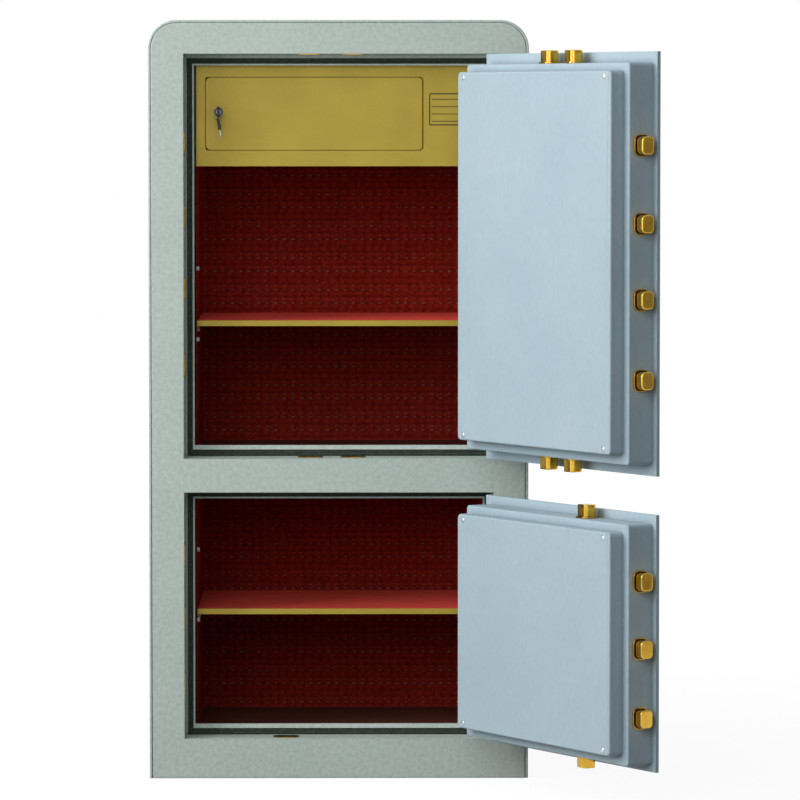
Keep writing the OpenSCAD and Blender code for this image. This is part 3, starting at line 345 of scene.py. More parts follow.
def woolFelt():
    # Wool felt, pressed and glued down: bright red, matt, with a soft nap that lightens at a low angle
    look = {"tones": ("#d24339", "#e25046", "#ee6054"), "sheen": "#ee5c4e", "nap": 1.8 * mm, "cloud": 30 * mm,
            "depth": 0.25 * mm}
    material, tree, shader, place = newMaterial("woolFelt", {
        "Roughness": 0.95, "Specular IOR Level": 0.1, "Sheen Weight": 0.7, "Sheen Roughness": 0.4,
        "Sheen Tint": linear(look["sheen"])})
    nap = pattern(tree, place, look["nap"], detail=4, roughness=0.7)
    cloud = pattern(tree, place, look["cloud"])
    both = mixed(tree, 0.4, nap, cloud)
    fill(tree, shader, {"Base Color": shades(tree, both, look["tones"], span=(0.35, 0.65))})
    relief(tree, shader, nap, look["depth"], strength=0.7)
    return material


def grained(name, shaderSettings, tones, grain, depth=0.0, detail=3, roughness=0.5):
    # one colour with a single grain, which stands out in relief where it has a depth
    material, tree, shader, place = newMaterial(name, shaderSettings)
    grains = pattern(tree, place, grain, detail=detail, roughness=roughness)
    fill(tree, shader, {"Base Color": shades(tree, grains, tones)})
    if depth:
        relief(tree, shader, grains, depth)
    return material


def castFilling():
    # Cast mineral filling: pale grey, rough, with grains of aggregate
    tones = ("#9c968b", "#b7b1a5", "#c9c4ba")
    return grained("castFilling", {"Roughness": 0.9}, tones, 3 * mm, 0.4 * mm, detail=5, roughness=0.7)


def sealFoam():
    # Foamed rubber strip: green-black and matt, with a fine skin
    return grained("sealFoam", {"Roughness": 0.75, "Specular IOR Level": 0.3},
                   ("#262e27", "#323b33", "#414a41"), 2 * mm, 0.08 * mm)


def printInk():
    # Screen-printed ink: flat near-black on the lacquer
    return grained("printInk", {"Roughness": 0.6}, ("#241c08", "#31270d"), 3 * mm)


def displayGlass():
    # Dark acrylic window: glossy, almost black
    settings = {"Roughness": 0.08, "IOR": 1.49, "Coat Weight": 0.5, "Coat Roughness": 0.03}
    return grained("displayGlass", settings, ("#07090a", "#0d1211"), 20 * mm)


finishes = {
    "cabinet_paint": powderCoat(),
    "door_paint": doorEnamel(),
    "gold_paint": goldLacquer(),
    "base_steel": steel("basePrimer", ("#3a3d3c", "#45494a", "#505454"), (0.55, 0.7), 3 * mm, (1, 1, 1), 0.2),
    "liner_steel": steel("linerSheet", ("#8f9695", "#a3a9a8", "#b3b8b7"), (0.35, 0.5)),
    "fire_filling": castFilling(),
    "carpet": ribbedCarpet(),
    "felt": woolFelt(),
    "seal_rubber": sealFoam(),
    "brass": brassPlate(),
    "hinge_steel": steel("turnedSteel", ("#8b8f92", "#9da1a4", "#adb0b2"), (0.28, 0.42)),
    "gear_steel": steel("machinedSteel", ("#85898c", "#999da0", "#aaadaf"), (0.25, 0.4), 0.6 * mm,
                        (1, 12, 1)),
    "lock_steel": steel("nickelPlate", ("#505454", "#606464", "#727676"), (0.22, 0.34), 1 * mm, (1, 1, 1)),
    "screw_steel": steel("zincPlate", ("#b5babb", "#c8cccc", "#dadedd"), (0.18, 0.3), 1 * mm, (1, 1, 1)),
    "peg_plastic": moulded("whiteNylon", ("#d5d8d4", "#e0e2df", "#e9ebe8"), (0.35, 0.5)),
    "key_plastic": moulded("blackKeyHead", ("#0c0c0d", "#141415", "#1c1c1e"), (0.38, 0.5), 0.8 * mm),
    "keypad_plastic": moulded("blackHousing", ("#141517", "#1b1c1f", "#232527"), (0.45, 0.6), 1.4 * mm,
                              0.08 * mm),
    "button_plastic": moulded("silverKeys", ("#b3b7ba", "#c0c4c7", "#cbced1"), (0.25, 0.35), 1 * mm,
                              0.01 * mm),
}
ink, glass = printInk(), displayGlass()

bodyOf = {node: body_of(nodes[node])[0] for node in nodes}
slotOf = {entry["node"]: entry["material_slot"] for entry in frame["record"]["subparts"]}
for node, slotName in slotOf.items():
    nodes[node].data.materials.clear()
    nodes[node].data.materials.append(finishes[slotName])
print("stage: materials made,", len(finishes))

# Shapes: points worked out as arrays, then made into meshes


def outline(width, height, radius, steps=5):
    # rounded rectangle round its middle: each corner's points are its centre + radius * (cos a, sin a)
    radius = max(min(radius, width / 2, height / 2) - 1e-6, 1e-6)
    turn = np.tile(np.linspace(0, math.pi / 2, steps + 1), 4)
    turn = turn + np.repeat(np.arange(4), steps + 1) * math.pi / 2
    across = np.repeat([1, -1, -1, 1], steps + 1) * (width / 2 - radius) + radius * np.cos(turn)
    up = np.repeat([1, 1, -1, -1], steps + 1) * (height / 2 - radius) + radius * np.sin(turn)
    return np.stack([across, up], 1)


def rolled(depth, front=0.0, back=0.0, steps=4):
    # edge of a slab, front to back, as (growth, place): quarter circles, -r + r sin a and r - r cos a
    a = np.linspace(0, math.pi / 2, steps + 1)
    first = np.stack([front * np.sin(a) - front, front - front * np.cos(a)], 1) if front else [(0, 0)]
    last = np.stack([back * np.cos(a) - back, depth - back + back * np.sin(a)], 1) if back else [(0, depth)]
    return np.vstack([first, last])


def stacked(width, height, radius, rows, steps=5):
    # rings of rounded rectangles: row i is the outline grown by its growth, as (across, up, place)
    return np.stack([np.column_stack([outline(width + 2 * grow, height + 2 * grow, radius + grow, steps),
                                      np.full((steps + 1) * 4, place)]) for grow, place in rows])


def profile(rows, radius, place):
    # rows of (radius, place) in millimetres, counted from a radius and a place in metres
    return np.array(rows) * mm + (radius, place)


def circle(steps):
    # evenly spaced angles, once round
    return np.linspace(0, 2 * math.pi, steps, endpoint=False)


def turned(rows, segments=48):
    # surface of revolution: (radius, place) becomes (radius cos a, radius sin a, place)
    a = circle(segments)
    radius, place = np.asarray(rows, float).T
    return np.stack([np.outer(radius, np.cos(a)), np.outer(radius, np.sin(a)),
                     np.outer(place, np.ones(segments))], 2)


def domed(ring, steps, place, rise):
    # rings from a face's middle out to its edge ring: place + rise * (1 - share of the way out ** 2)
    share = np.linspace(0.02, 1, steps)[:, None, None]
    return ring * (1, 1, 0) * share + (0, 0, 1) * (place + rise * (1 - share ** 2))


def swept(section, path, up):
    # section carried along a path: point + u * side + v * top, square to the path's own direction
    along = np.gradient(path, axis=0)
    along /= np.linalg.norm(along, axis=1)[:, None]
    side = np.cross(along, up)
    side /= np.linalg.norm(side, axis=1)[:, None]
    top = np.cross(side, along)
    return path[:, None] + section[:, :1] * side[:, None] + section[:, 1:] * top[:, None]


def facing(points, origin=(0, 0, 0)):
    # (across, up, place) laid on a face that looks to -Y: X = across, Z = up, Y = place
    return points[..., [0, 2, 1]] + origin


def skin(rings, closedRows=False):
    # grid of rings to (points, faces): quads between neighbours, and a flat face on each end unless the last
    # ring joins the first
    rows, columns = rings.shape[:2]
    i = np.arange(rows if closedRows else rows - 1)[:, None]
    j = np.arange(columns)[None]
    nextRow, nextColumn = (i + 1) % rows, (j + 1) % columns
    quads = np.stack([i * columns + j, i * columns + nextColumn, nextRow * columns + nextColumn,
                      nextRow * columns + j], -1).reshape(-1, 4)
    faces = quads.tolist()
    if not closedRows:
        faces += [list(range(columns))[::-1], list(range((rows - 1) * columns, rows * columns))]
    return rings.reshape(-1, 3), faces


def solidVolume(points, faces):
    # signed volume: the sum over each face's fan of triangles of a . (b x c) / 6
    total = 0.0
    for size in {len(face) for face in faces}:
        corners = points[np.array([face for face in faces if len(face) == size])]
        a, b, c = corners[:, :1], corners[:, 1:-1], corners[:, 2:]
        total += (np.broadcast_to(a, b.shape) * np.cross(b, c)).sum() / 6
    return total


def placed(name, data):
    # a new object in the scene
    made = bpy.data.objects.new(name, data)
    bpy.context.collection.objects.link(made)
    return made


def settle(made, body, stands=()):
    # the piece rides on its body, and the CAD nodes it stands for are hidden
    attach(made, body)
    if stands:
        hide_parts(*stands)
    return made


def piece(name, skins, body, slotName, stands=(), sharp=38, keepFlat=True, material=None):
    # one mesh of several closed skins, each turned to face outwards, riding on its body
    points, faces = np.zeros((0, 3)), []
    for p, f in skins:
        f = [face[::-1] for face in f] if solidVolume(p, f) < 0 else f
        faces += [[k + len(points) for k in face] for face in f]
        points = np.vstack([points, p])
    mesh = bpy.data.meshes.new(name)
    mesh.from_pydata(points.tolist(), [], faces)
    mesh.shade_smooth()
    mesh.set_sharp_from_angle(angle=math.radians(sharp))
    mesh.materials.append(material or finishes[slotName])
    made = placed(name, mesh)
    if keepFlat:  # large faces keep their own direction, and only the rolled edges shade round
        made.modifiers.new("flats", "WEIGHTED_NORMAL").keep_sharp = True
    return settle(made, body, stands)


softenedBy = {"least": 40, "flat": 0.6, "sharp": 30, "join": 2e-6}  # degrees, and metres for join


def softened(node, width, segments=2, where=None, clamp=True, hollow=False, part=None, name=None):
    # copy of a CAD node with its triangles joined and its sharp edges rounded. where picks the points to
    # round, hollow rounds inside corners only, and part picks the points of the piece that is wanted.
    points = nodePoints(node)
    corner = read(nodes[node].data.loops, "vertex_index")
    if part:
        corner = corner.reshape(-1, 3)[part(points[corner]).reshape(-1, 3).all(1)].ravel()
    grid = np.round(points / softenedBy["join"]).astype(np.int64)
    _, first, place = np.unique(grid, axis=0, return_index=True, return_inverse=True)
    triangles = place.ravel()[corner].reshape(-1, 3)
    triangles = triangles[(triangles != np.roll(triangles, 1, 1)).all(1)]
    used, renumbered = np.unique(triangles, return_inverse=True)
    name = name or node + "_finish"
    mesh = bpy.data.meshes.new(name)
    mesh.from_pydata(points[first][used].tolist(), [], renumbered.reshape(-1, 3).tolist())
    work = bmesh.new()
    work.from_mesh(mesh)
    bmesh.ops.dissolve_limit(work, angle_limit=math.radians(softenedBy["flat"]), verts=work.verts,
                             edges=work.edges, use_dissolve_boundaries=False)
    work.to_mesh(mesh)
    work.free()
    # the turn at an edge is the angle between its faces' normals a and b, and the edge is an inside one where
    # a x b points against the first face's way round
    spots, normals = read(mesh.vertices, "co", 3), read(mesh.polygons, "normal", 3)
    vertexOf, edgeOf = read(mesh.loops, "vertex_index"), read(mesh.loops, "edge_index")
    start, total = read(mesh.polygons, "loop_start"), read(mesh.polygons, "loop_total")
    owner = np.repeat(np.arange(len(start)), total)
    following = np.arange(len(vertexOf)) + 1
    following[start + total - 1] = start
    order = np.argsort(edgeOf, kind="stable")
    shared = edgeOf[order][:-1] == edgeOf[order][1:]
    i, j = order[:-1][shared], order[1:][shared]
    a, b = normals[owner[i]], normals[owner[j]]
    turn = np.degrees(np.arccos(np.clip((a * b).sum(1), -1, 1)))
    bulge = (np.cross(a, b) * (spots[vertexOf[following[i]]] - spots[vertexOf[i]])).sum(1)
    picked = where(spots) if where else np.ones(len(spots), bool)
    chosen = (turn > softenedBy["least"]) & picked[vertexOf[i]] & picked[vertexOf[following[i]]]
    weight = np.zeros(len(mesh.edges), np.float32)
    weight[edgeOf[i]] = chosen & ((bulge < 0) | (not hollow))
    mesh.attributes.new("bevel_weight_edge", "FLOAT", "EDGE").data.foreach_set("value", weight)
    mesh.shade_smooth()
    mesh.set_sharp_from_angle(angle=math.radians(softenedBy["sharp"]))
    mesh.materials.append(finishes[slotOf[node]])
    made = placed(name, mesh)
    bevel = made.modifiers.new("edges", "BEVEL")
    bevel.limit_method, bevel.width, bevel.segments = "WEIGHT", width, segments
    bevel.harden_normals, bevel.use_clamp_overlap = True, clamp
    return settle(made, bodyOf[node], (node,))


print("stage: shape functions ready")

# Cabinet

edges = {"outer_shell": 1.2 * mm, "hinge_pins": 0.6 * mm, "upper_shelf": 0.5 * mm,
         "lower_shelf": 0.5 * mm, "locker_case": 0.6 * mm, "back_plate": 0.8 * mm, "shelf_pegs": 0.5 * mm,
         "upper_door_plate": 0.8 * mm, "lower_door_plate": 0.8 * mm, "upper_bolt_guides": 0.4 * mm,
         "lower_bolt_guides": 0.4 * mm, "lower_lock_body": 0.8 * mm, "locker_door": 0.5 * mm}
for node, width in edges.items():
    softened(node, width)
frameEdge = {"roll": 1.8 * mm, "face": cadBoxOf("front_frame")[0][1] + 0.05 * mm}
softened("front_frame", frameEdge["roll"], 3, lambda p: p[:, 1] < frameEdge["face"], clamp=False)
print("stage: cabinet edges rounded")

# Door seals: foam strips whose face rises in two low ridges, depth = least + rise * |sin(2 pi s)| across the
# strip, and falls to a thin foot at both edges
sealShape = {"least": 0.9 * mm, "rise": 1.1 * mm, "edge": 0.12, "foot": 0.05, "steps": 25}
sealPoints = nodePoints("door_seals")
skins = []
for chosen in (sealPoints[:, 2] > between, sealPoints[:, 2] < between):
    xs, ys, zs = (np.unique(np.round(sealPoints[chosen][:, k], 5)) for k in range(3))
    outer = np.array([(xs[0], zs[0]), (xs[-1], zs[0]), (xs[-1], zs[-1]), (xs[0], zs[-1])])
    inner = np.array([(xs[1], zs[1]), (xs[2], zs[1]), (xs[2], zs[2]), (xs[1], zs[2])])
    s = np.linspace(0, 1, sealShape["steps"])
    lift = sealShape["least"] + sealShape["rise"] * np.abs(np.sin(2 * math.pi * s))
    lift = lift * np.clip(np.minimum(s, 1 - s) / sealShape["edge"], sealShape["foot"], 1)
    # corner by corner, a point s of the way from the strip's outer line to its inner line
    line = outer[None] + s[:, None, None] * (inner - outer)[None]
    face = np.dstack([line[..., 0], np.repeat(ys[-1] - lift[:, None], 4, 1), line[..., 1]])
    back = np.dstack([line[::-1, :, 0], np.full((len(s), 4), ys[-1]), line[::-1, :, 1]])
    skins.append(skin(np.vstack([face, back]), closedRows=True))
piece("door_seals_finish", skins, "cabinet", "seal_rubber", ("door_seals",), sharp=60)

# Shelf felts: a sheet whose top swells a little and rolls over at its edges, z = top - dip(x, y) - roll
feltShape = {"dip": 0.25 * mm, "waves": (41, 17, 33, 12), "roll": 0.7 * mm, "steps": (120, 90)}
feltPoints = nodePoints("shelf_felts")
for name, shelf, chosen in (("upper_felt", "upper_shelf_finish", feltPoints[:, 2] > between),
                            ("lower_felt", "lower_shelf_finish", feltPoints[:, 2] < between)):
    low, high = feltPoints[chosen].min(0), feltPoints[chosen].max(0)
    x, y = np.meshgrid(*(np.linspace(low[k], high[k], feltShape["steps"][k]) for k in range(2)))
    a, b, c, d = feltShape["waves"]
    dip = feltShape["dip"] * (0.5 - 0.25 * np.sin(x * a + 2 * np.sin(y * b)) - 0.25 * np.cos(y * c + x * d))
    edge = np.minimum(np.minimum(x - low[0], high[0] - x), np.minimum(y - low[1], high[1] - y))
    over = 1 - np.clip(edge / feltShape["roll"], 0, 1)
    roll = feltShape["roll"] * (1 - np.sqrt(np.clip(1 - over ** 2, 0, 1)))
    top = np.dstack([x, y, high[2] - dip - roll])
    bottom = np.dstack([x, y, np.full_like(x, low[2])])
    # one ring for each place across: over the top from front to back, and back again underneath
    felt = piece(name, [skin(np.vstack([top, bottom[::-1]]).transpose(1, 0, 2))], "cabinet", "felt",
                 ("shelf_felts",), sharp=70, keepFlat=False)
print("stage: seals and felts")

# Carpet: a wrap for each compartment, cut as a cross and folded in, its corners a little round where it turns
carpetFold = 3 * mm
for name, liner, part in (("upper_carpet", "upper_liner", lambda p: p[:, 2] > between),
                          ("lower_carpet", "lower_liner", lambda p: p[:, 2] < between)):
    points = nodePoints("carpet_lining")
    points = points[part(points)]
    width, depth, height = points.max(0) - points.min(0)
    wrap = softened("carpet_lining", carpetFold, 3, clamp=False, hollow=True, part=part, name=name)

# Keys: a moulded head with a hole and a rolled edge, on a notched blade
keyShape = {"head": (19 * mm, 17.6 * mm), "corner": 4 * mm, "thick": 3 * mm, "roll": 0.9 * mm,
            "hole": 2.2 * mm, "holeIn": 4.4 * mm}
bladeShape = {"reach": 12 * mm, "width": 6 * mm, "thick": 1.8 * mm, "inHead": 0.5 * mm, "tip": 0.16,
              "point": 0.15, "notch": 1.3 * mm, "notches": 4.5, "notched": (0.12, 0.82), "steps": 60}
hangShape = {"twist": math.radians(5), "slant": math.radians(10)}


def keyHead():
    # rings over the front face, round the rolled edge, over the back face and through the hole, as (along,
    # across, thick); the hole's points lie on the lines from its centre to the outline's points
    length, width = keyShape["head"]
    thick = keyShape["thick"]
    rows = rolled(thick, keyShape["roll"], keyShape["roll"])
    rings = stacked(length, width, keyShape["corner"], rows, steps=7) + (length / 2, 0, -thick / 2)
    lines = rings[0, :, :2] - (keyShape["holeIn"], 0)
    lines *= keyShape["hole"] / np.linalg.norm(lines, axis=1)[:, None]
    hole = lines + (keyShape["holeIn"], 0)
    half = np.full((len(hole), 1), thick / 2)
    return np.vstack([rings, [np.hstack([hole, half]), np.hstack([hole, -half])]])


def keyBlade():
    # stations along the blade, each a rectangle: its lower side rises in notches of notch * (0.5 - 0.5 cos),
    # and both sides close to the point over the last sixth
    s = np.linspace(0, 1, bladeShape["steps"])
    edge = bladeShape["width"] / 2 * np.clip((1 - s) / bladeShape["tip"], bladeShape["point"], 1)
    notch = bladeShape["notch"] * (0.5 - 0.5 * np.cos(s * 2 * math.pi * bladeShape["notches"]))
    low = -edge + notch * (s > bladeShape["notched"][0]) * (s < bladeShape["notched"][1])
    half = bladeShape["thick"] / 2
    inHead = bladeShape["inHead"]
    along = keyShape["head"][0] - inHead + s * (bladeShape["reach"] + inHead)
    corners = [(edge, half), (edge, -half), (low, -half), (low, half)]
    return np.stack([np.stack([along, across, np.full_like(s, thick)], 1) for across, thick in corners], 1)


def inLock(key):
    # (along, across, thick) to (thick, along, across), from the middle of the key's outer end
    low, high = cadBoxOf("locker_key")
    x, _, z = (low + high) / 2
    return np.array([x, low[1], z]) + key[..., [2, 0, 1]]


def onRing(key):
    # the spare key hangs by its hole, turned about its length by twist and then about its hole by slant
    low, high = cadBoxOf("spare_key")
    x, y, _ = (low + high) / 2
    twist, slant, holeIn = hangShape["twist"], hangShape["slant"], keyShape["holeIn"]
    along, across, thick = key[..., 0] - holeIn, key[..., 1], key[..., 2]
    return np.stack([x + thick * math.cos(twist) + across * math.sin(twist) + along * math.sin(slant),
                     y + across * math.cos(twist) - thick * math.sin(twist),
                     high[2] - holeIn - along * math.cos(slant)], -1)


for node, lay in (("locker_key", inLock), ("spare_key", onRing)):
    piece(node + "_head", [skin(lay(keyHead()), closedRows=True)], bodyOf[node], "key_plastic", (node,))
    piece(node + "_blade", [skin(lay(keyBlade()))], bodyOf[node], "lock_steel", sharp=25,
          material=finishes["screw_steel"])

# Split ring: two turns of flat wire side by side, a helix whose place is pitch * angle / 2 pi
ringShape = {"turns": 1.96, "start": 1.0, "pitch": 0.6 * mm, "wire": (0.55 * mm, 0.28 * mm), "steps": 160}
low, high = cadBoxOf("key_ring")
wireWidth, wireThick = ringShape["wire"]
radius = (high[0] - low[0]) / 2 - wireWidth
wound = np.linspace(0, ringShape["turns"], ringShape["steps"])
a = 2 * math.pi * wound + ringShape["start"]
path = (low + high) / 2 + np.stack([radius * np.cos(a), ringShape["pitch"] * (wound - ringShape["turns"] / 2),
                                    radius * np.sin(a)], 1)
a = circle(steps=10)
section = np.stack([wireWidth * np.cos(a), wireThick * np.sin(a)], 1)
piece("key_ring_wire", [skin(swept(section, path, (0, 1, 0)))], bodyOf["key_ring"], "lock_steel",
      ("key_ring",), sharp=60, keepFlat=False)

# Cam lock: a black moulded bezel over its face, turned about the plug, its rows counted from the lock's face
bezelRows = ((4.75, 0.6), (4.75, 0), (5.1, -0.16), (6.4, -0.16), (7.1, 0.1), (7.35, 0.6), (7.35, 1.45),
             (7.1, 1.45), (7.1, 0.6))
low, high = cadBoxOf("locker_lock_plug")
axis = ((low[0] + high[0]) / 2, 0, joints["locker_lock_turn"]["pos_m"][2])
bezel = profile(bezelRows, 0, cadBoxOf("locker_lock_body")[0][1])
piece("locker_lock_bezel", [skin(facing(turned(bezel, segments=56), axis), closedRows=True)], "locker_door",
      "key_plastic", sharp=50)

# Printed frame beside the locker door, with four blank rules
labelShape = {"low": (143.8 * mm, 1034 * mm), "high": (218 * mm, 1085.2 * mm), "line": 1.9 * mm,
              "corner": 2.5 * mm, "rules": (0.19, 0.42, 0.645, 0.87), "rule": 1.3 * mm, "ruleEnd": 0.4 * mm,
              "ruleShorter": 9 * mm, "proud": 0.06 * mm}
face = cadBoxOf("locker_case")[0][1]
low, high = np.array([labelShape["low"], labelShape["high"]])
width, height = high - low
x, z = (low + high) / 2
centre = (x, 0, z)
line, proud = labelShape["line"], labelShape["proud"]
rows = [(0, 0), (0, -proud), (-line, -proud), (-line, 0)]
border = stacked(width, height, labelShape["corner"], rows) + (0, 0, face)
skins = [skin(facing(border, centre), closedRows=True)]
for share in labelShape["rules"]:
    rule = stacked(width - labelShape["ruleShorter"], labelShape["rule"], labelShape["ruleEnd"],
                   [(0, 0), (0, -proud)], steps=2)
    skins.append(skin(facing(rule + (0, height * (0.5 - share), face), centre)))
piece("locker_label_lines", skins, "cabinet", "gold_paint", sharp=30, keepFlat=False, material=ink)

# Keypad window: a slightly domed lens in its recess
lensShape = {"size": (83.2 * mm, 23.2 * mm), "corner": 2.6 * mm, "rim": 0.25 * mm, "dome": 0.5 * mm,
             "sunk": 0.98 * mm, "up": 129 * mm}
low, high = shutBox("keypad_case")
edgeRing = stacked(*lensShape["size"], lensShape["corner"], [(0, 0)], steps=6)
lensFace = domed(edgeRing, 12, -lensShape["rim"], -lensShape["dome"])
lens = np.vstack([lensFace, edgeRing * (1, 1, 0)]) + (0, 0, low[1] + lensShape["sunk"])
lens = facing(lens, ((low[0] + high[0]) / 2, 0, low[2] + lensShape["up"]))
piece("keypad_window", [skin(hang(lens))], bodyOf["keypad_case"], "keypad_plastic", keepFlat=False,
      material=glass)
print("stage: carpets, keys, lock, label and window")

# Doors

doorEdges = {"roll": 2.6 * mm, "coverRoll": 3.2 * mm, "rim": 2.5 * mm, "face": 0.1 * mm}


def atRim(points, low, high):
    # the points of the open door that lie at a box's outline, as seen with the door shut and from its front
    points = shut(points)
    return np.minimum(points - low, high - points)[:, ::2].min(1) < doorEdges["rim"]


for level in ("upper", "lower"):
    face = shutBox(level + "_bolt_case")[1][1] - doorEdges["face"]
    softened(level + "_bolt_case", doorEdges["roll"], 3,
             lambda p, face=face: shut(p)[:, 1] > face, clamp=False)
    box = shutBox(level + "_cover")
    face = box[1][1] - doorEdges["face"]
    softened(level + "_cover", doorEdges["coverRoll"], 3,
             lambda p, box=box, face=face: (shut(p)[:, 1] > face) & atRim(p, *box), clamp=False)

# Bolts: only their tips are rounded, so the racks keep their teeth
boltEdges = {"tip": 1.8 * mm, "face": 0.05 * mm}
tipSide = {"upper_side_bolts": (0, -1), "lower_side_bolts": (0, -1), "upper_top_bolts": (2, 1),
           "upper_bottom_bolts": (2, -1), "lower_top_bolt": (2, 1), "lower_bottom_bolt": (2, -1)}
for node, (axis, way) in tipSide.items():
    far = shutBox(node)[1 if way > 0 else 0][axis] * way - boltEdges["face"]
    softened(node, boltEdges["tip"], 4, lambda p, a=axis, w=way, f=far: shut(p)[:, a] * w > f, clamp=False)
print("stage: doors and bolts")

# Door levers: a turned boss and a grip that thins at its waist, with a round end. The lever hangs straight
# down while the bolts are thrown, at the low end of its joint's range, and stands turned from there. The
# boss's nose, foot and tail are counted from the lever's front, the rosette's face and the lever's back.
leverShape = {"nose": ((0.5, 0), (8, 0.2), (11.2, 1.4), (12.5, 3.6), (12.5, 17), (9.5, 22)),
              "foot": ((9.5, -7), (12.5, -2.5), (12.5, -0.3), (8, -0.2)), "tail": ((8, 0), (0.5, 0)),
              "length": 120 * mm, "root": 8 * mm, "waist": 6.4 * mm, "end": 8 * mm, "flat": 0.85,
              "sunk": 10 * mm, "steps": 60, "tip": 0.998}
rosetteShape = {"bore": ((8.3, 0),), "brow": ((-12, 0.2),), "middle": ((13.6, 0), (13.2, 0.3), (8.3, 0.3)),
                "rim": ((-0.6, 0), (0, -0.6), (0, -2.2), (-0.8, -3.2), (-3, -3.7), (-4, -4.6), (-7, -5.6))}
for level in ("upper", "lower"):
    joint = joints[level + "_handle_turn"]
    x, _, z = shut(joint["pos_m"])
    angle = math.radians(joint["range_deg"][0])
    low, high = shutBox(level + "_handle")
    front, back = low[1], high[1]
    boss = np.vstack([profile(leverShape["nose"], 0, front),
                      profile(leverShape["foot"], 0, shutBox(level + "_rosette")[0][1]),
                      profile(leverShape["tail"], 0, back)])
    s = np.linspace(0, 1, leverShape["steps"])
    length, end, waist = leverShape["length"], leverShape["end"], leverShape["waist"]
    # radius: waist + (root - waist) * cos^2(pi s), times the half round sqrt(1 - u^2) at the tip
    u = np.clip((s * length - (length - end)) / end, 0, leverShape["tip"])
    radius = (waist + (leverShape["root"] - waist) * np.cos(math.pi * s) ** 2) * np.sqrt(1 - u ** 2)
    a = circle(steps=28)
    across, down = np.outer(radius, np.cos(a)), np.outer(s * length, np.ones(len(a)))
    grip = np.stack([x + across * math.cos(angle) - down * math.sin(angle),
                     front + leverShape["sunk"] + leverShape["flat"] * np.outer(radius, np.sin(a)),
                     z - across * math.sin(angle) - down * math.cos(angle)], 2)
    piece(level + "_handle_finish", [skin(hang(facing(turned(boss), (x, 0, z)))), skin(hang(grip))],
          bodyOf[level + "_handle"], "brass", (level + "_handle",))
    low, high = shutBox(level + "_rosette")
    wide, back, front = (high[0] - low[0]) / 2, high[1], low[1]
    dish = np.vstack([profile(rosetteShape["bore"], 0, back), profile(rosetteShape["rim"], wide, back),
                      profile(rosetteShape["brow"], wide, front), profile(rosetteShape["middle"], 0, front)])
    dish = facing(turned(dish, segments=72), (x, 0, z))
    piece(level + "_rosette_finish", [skin(hang(dish), closedRows=True)], bodyOf[level + "_rosette"], "brass",
          (level + "_rosette",))

# Cover screws: a domed head with a cross recess, height = dome(r) - recess(r, angle)
screwShape = {"head": 4 * mm, "shaft": 2 * mm, "crown": 1.0 * mm, "side": 0.3 * mm, "slot": 0.75 * mm,
              "slotLength": 2.6 * mm, "slotDepth": 0.9 * mm, "slotWall": 0.25 * mm, "slotEnd": 0.4 * mm,
              "middle": 0.02 * mm, "rings": 22}
head, crown = screwShape["head"], screwShape["crown"]
r = np.linspace(screwShape["middle"], head, screwShape["rings"])[:, None]
a = circle(steps=64)[None]
arm = np.minimum(np.abs(r * np.sin(a)), np.abs(r * np.cos(a)))
cut = np.clip((screwShape["slot"] - arm) / screwShape["slotWall"], 0, 1)
cut = cut * np.clip((screwShape["slotLength"] - r) / screwShape["slotEnd"], 0, 1)
dome = crown * (1 - (r / head) ** 2) - screwShape["slotDepth"] * cut
for level in ("upper", "lower"):
    low, high = shutBox(level + "_cover_screws")
    seat, flatTop = shutBox(level + "_cover")[1][1], high[1] - crown
    top = np.stack([r * np.cos(a), r * np.sin(a), flatTop + dome], 2)
    side = turned([(head, flatTop - screwShape["side"]), (head, seat), (screwShape["shaft"], seat),
                   (screwShape["shaft"], low[1])], segments=64)
    screw = np.vstack([top, side])
    skins = [skin(hang(facing(screw, (x, 0, z)))) for x in (low[0] + head, high[0] - head)
             for z in (low[2] + head, high[2] - head)]
    piece(level + "_screws_finish", skins, bodyOf[level + "_cover_screws"], "screw_steel",
          (level + "_cover_screws",), sharp=50, keepFlat=False)
print("stage: levers, rosettes and screws")

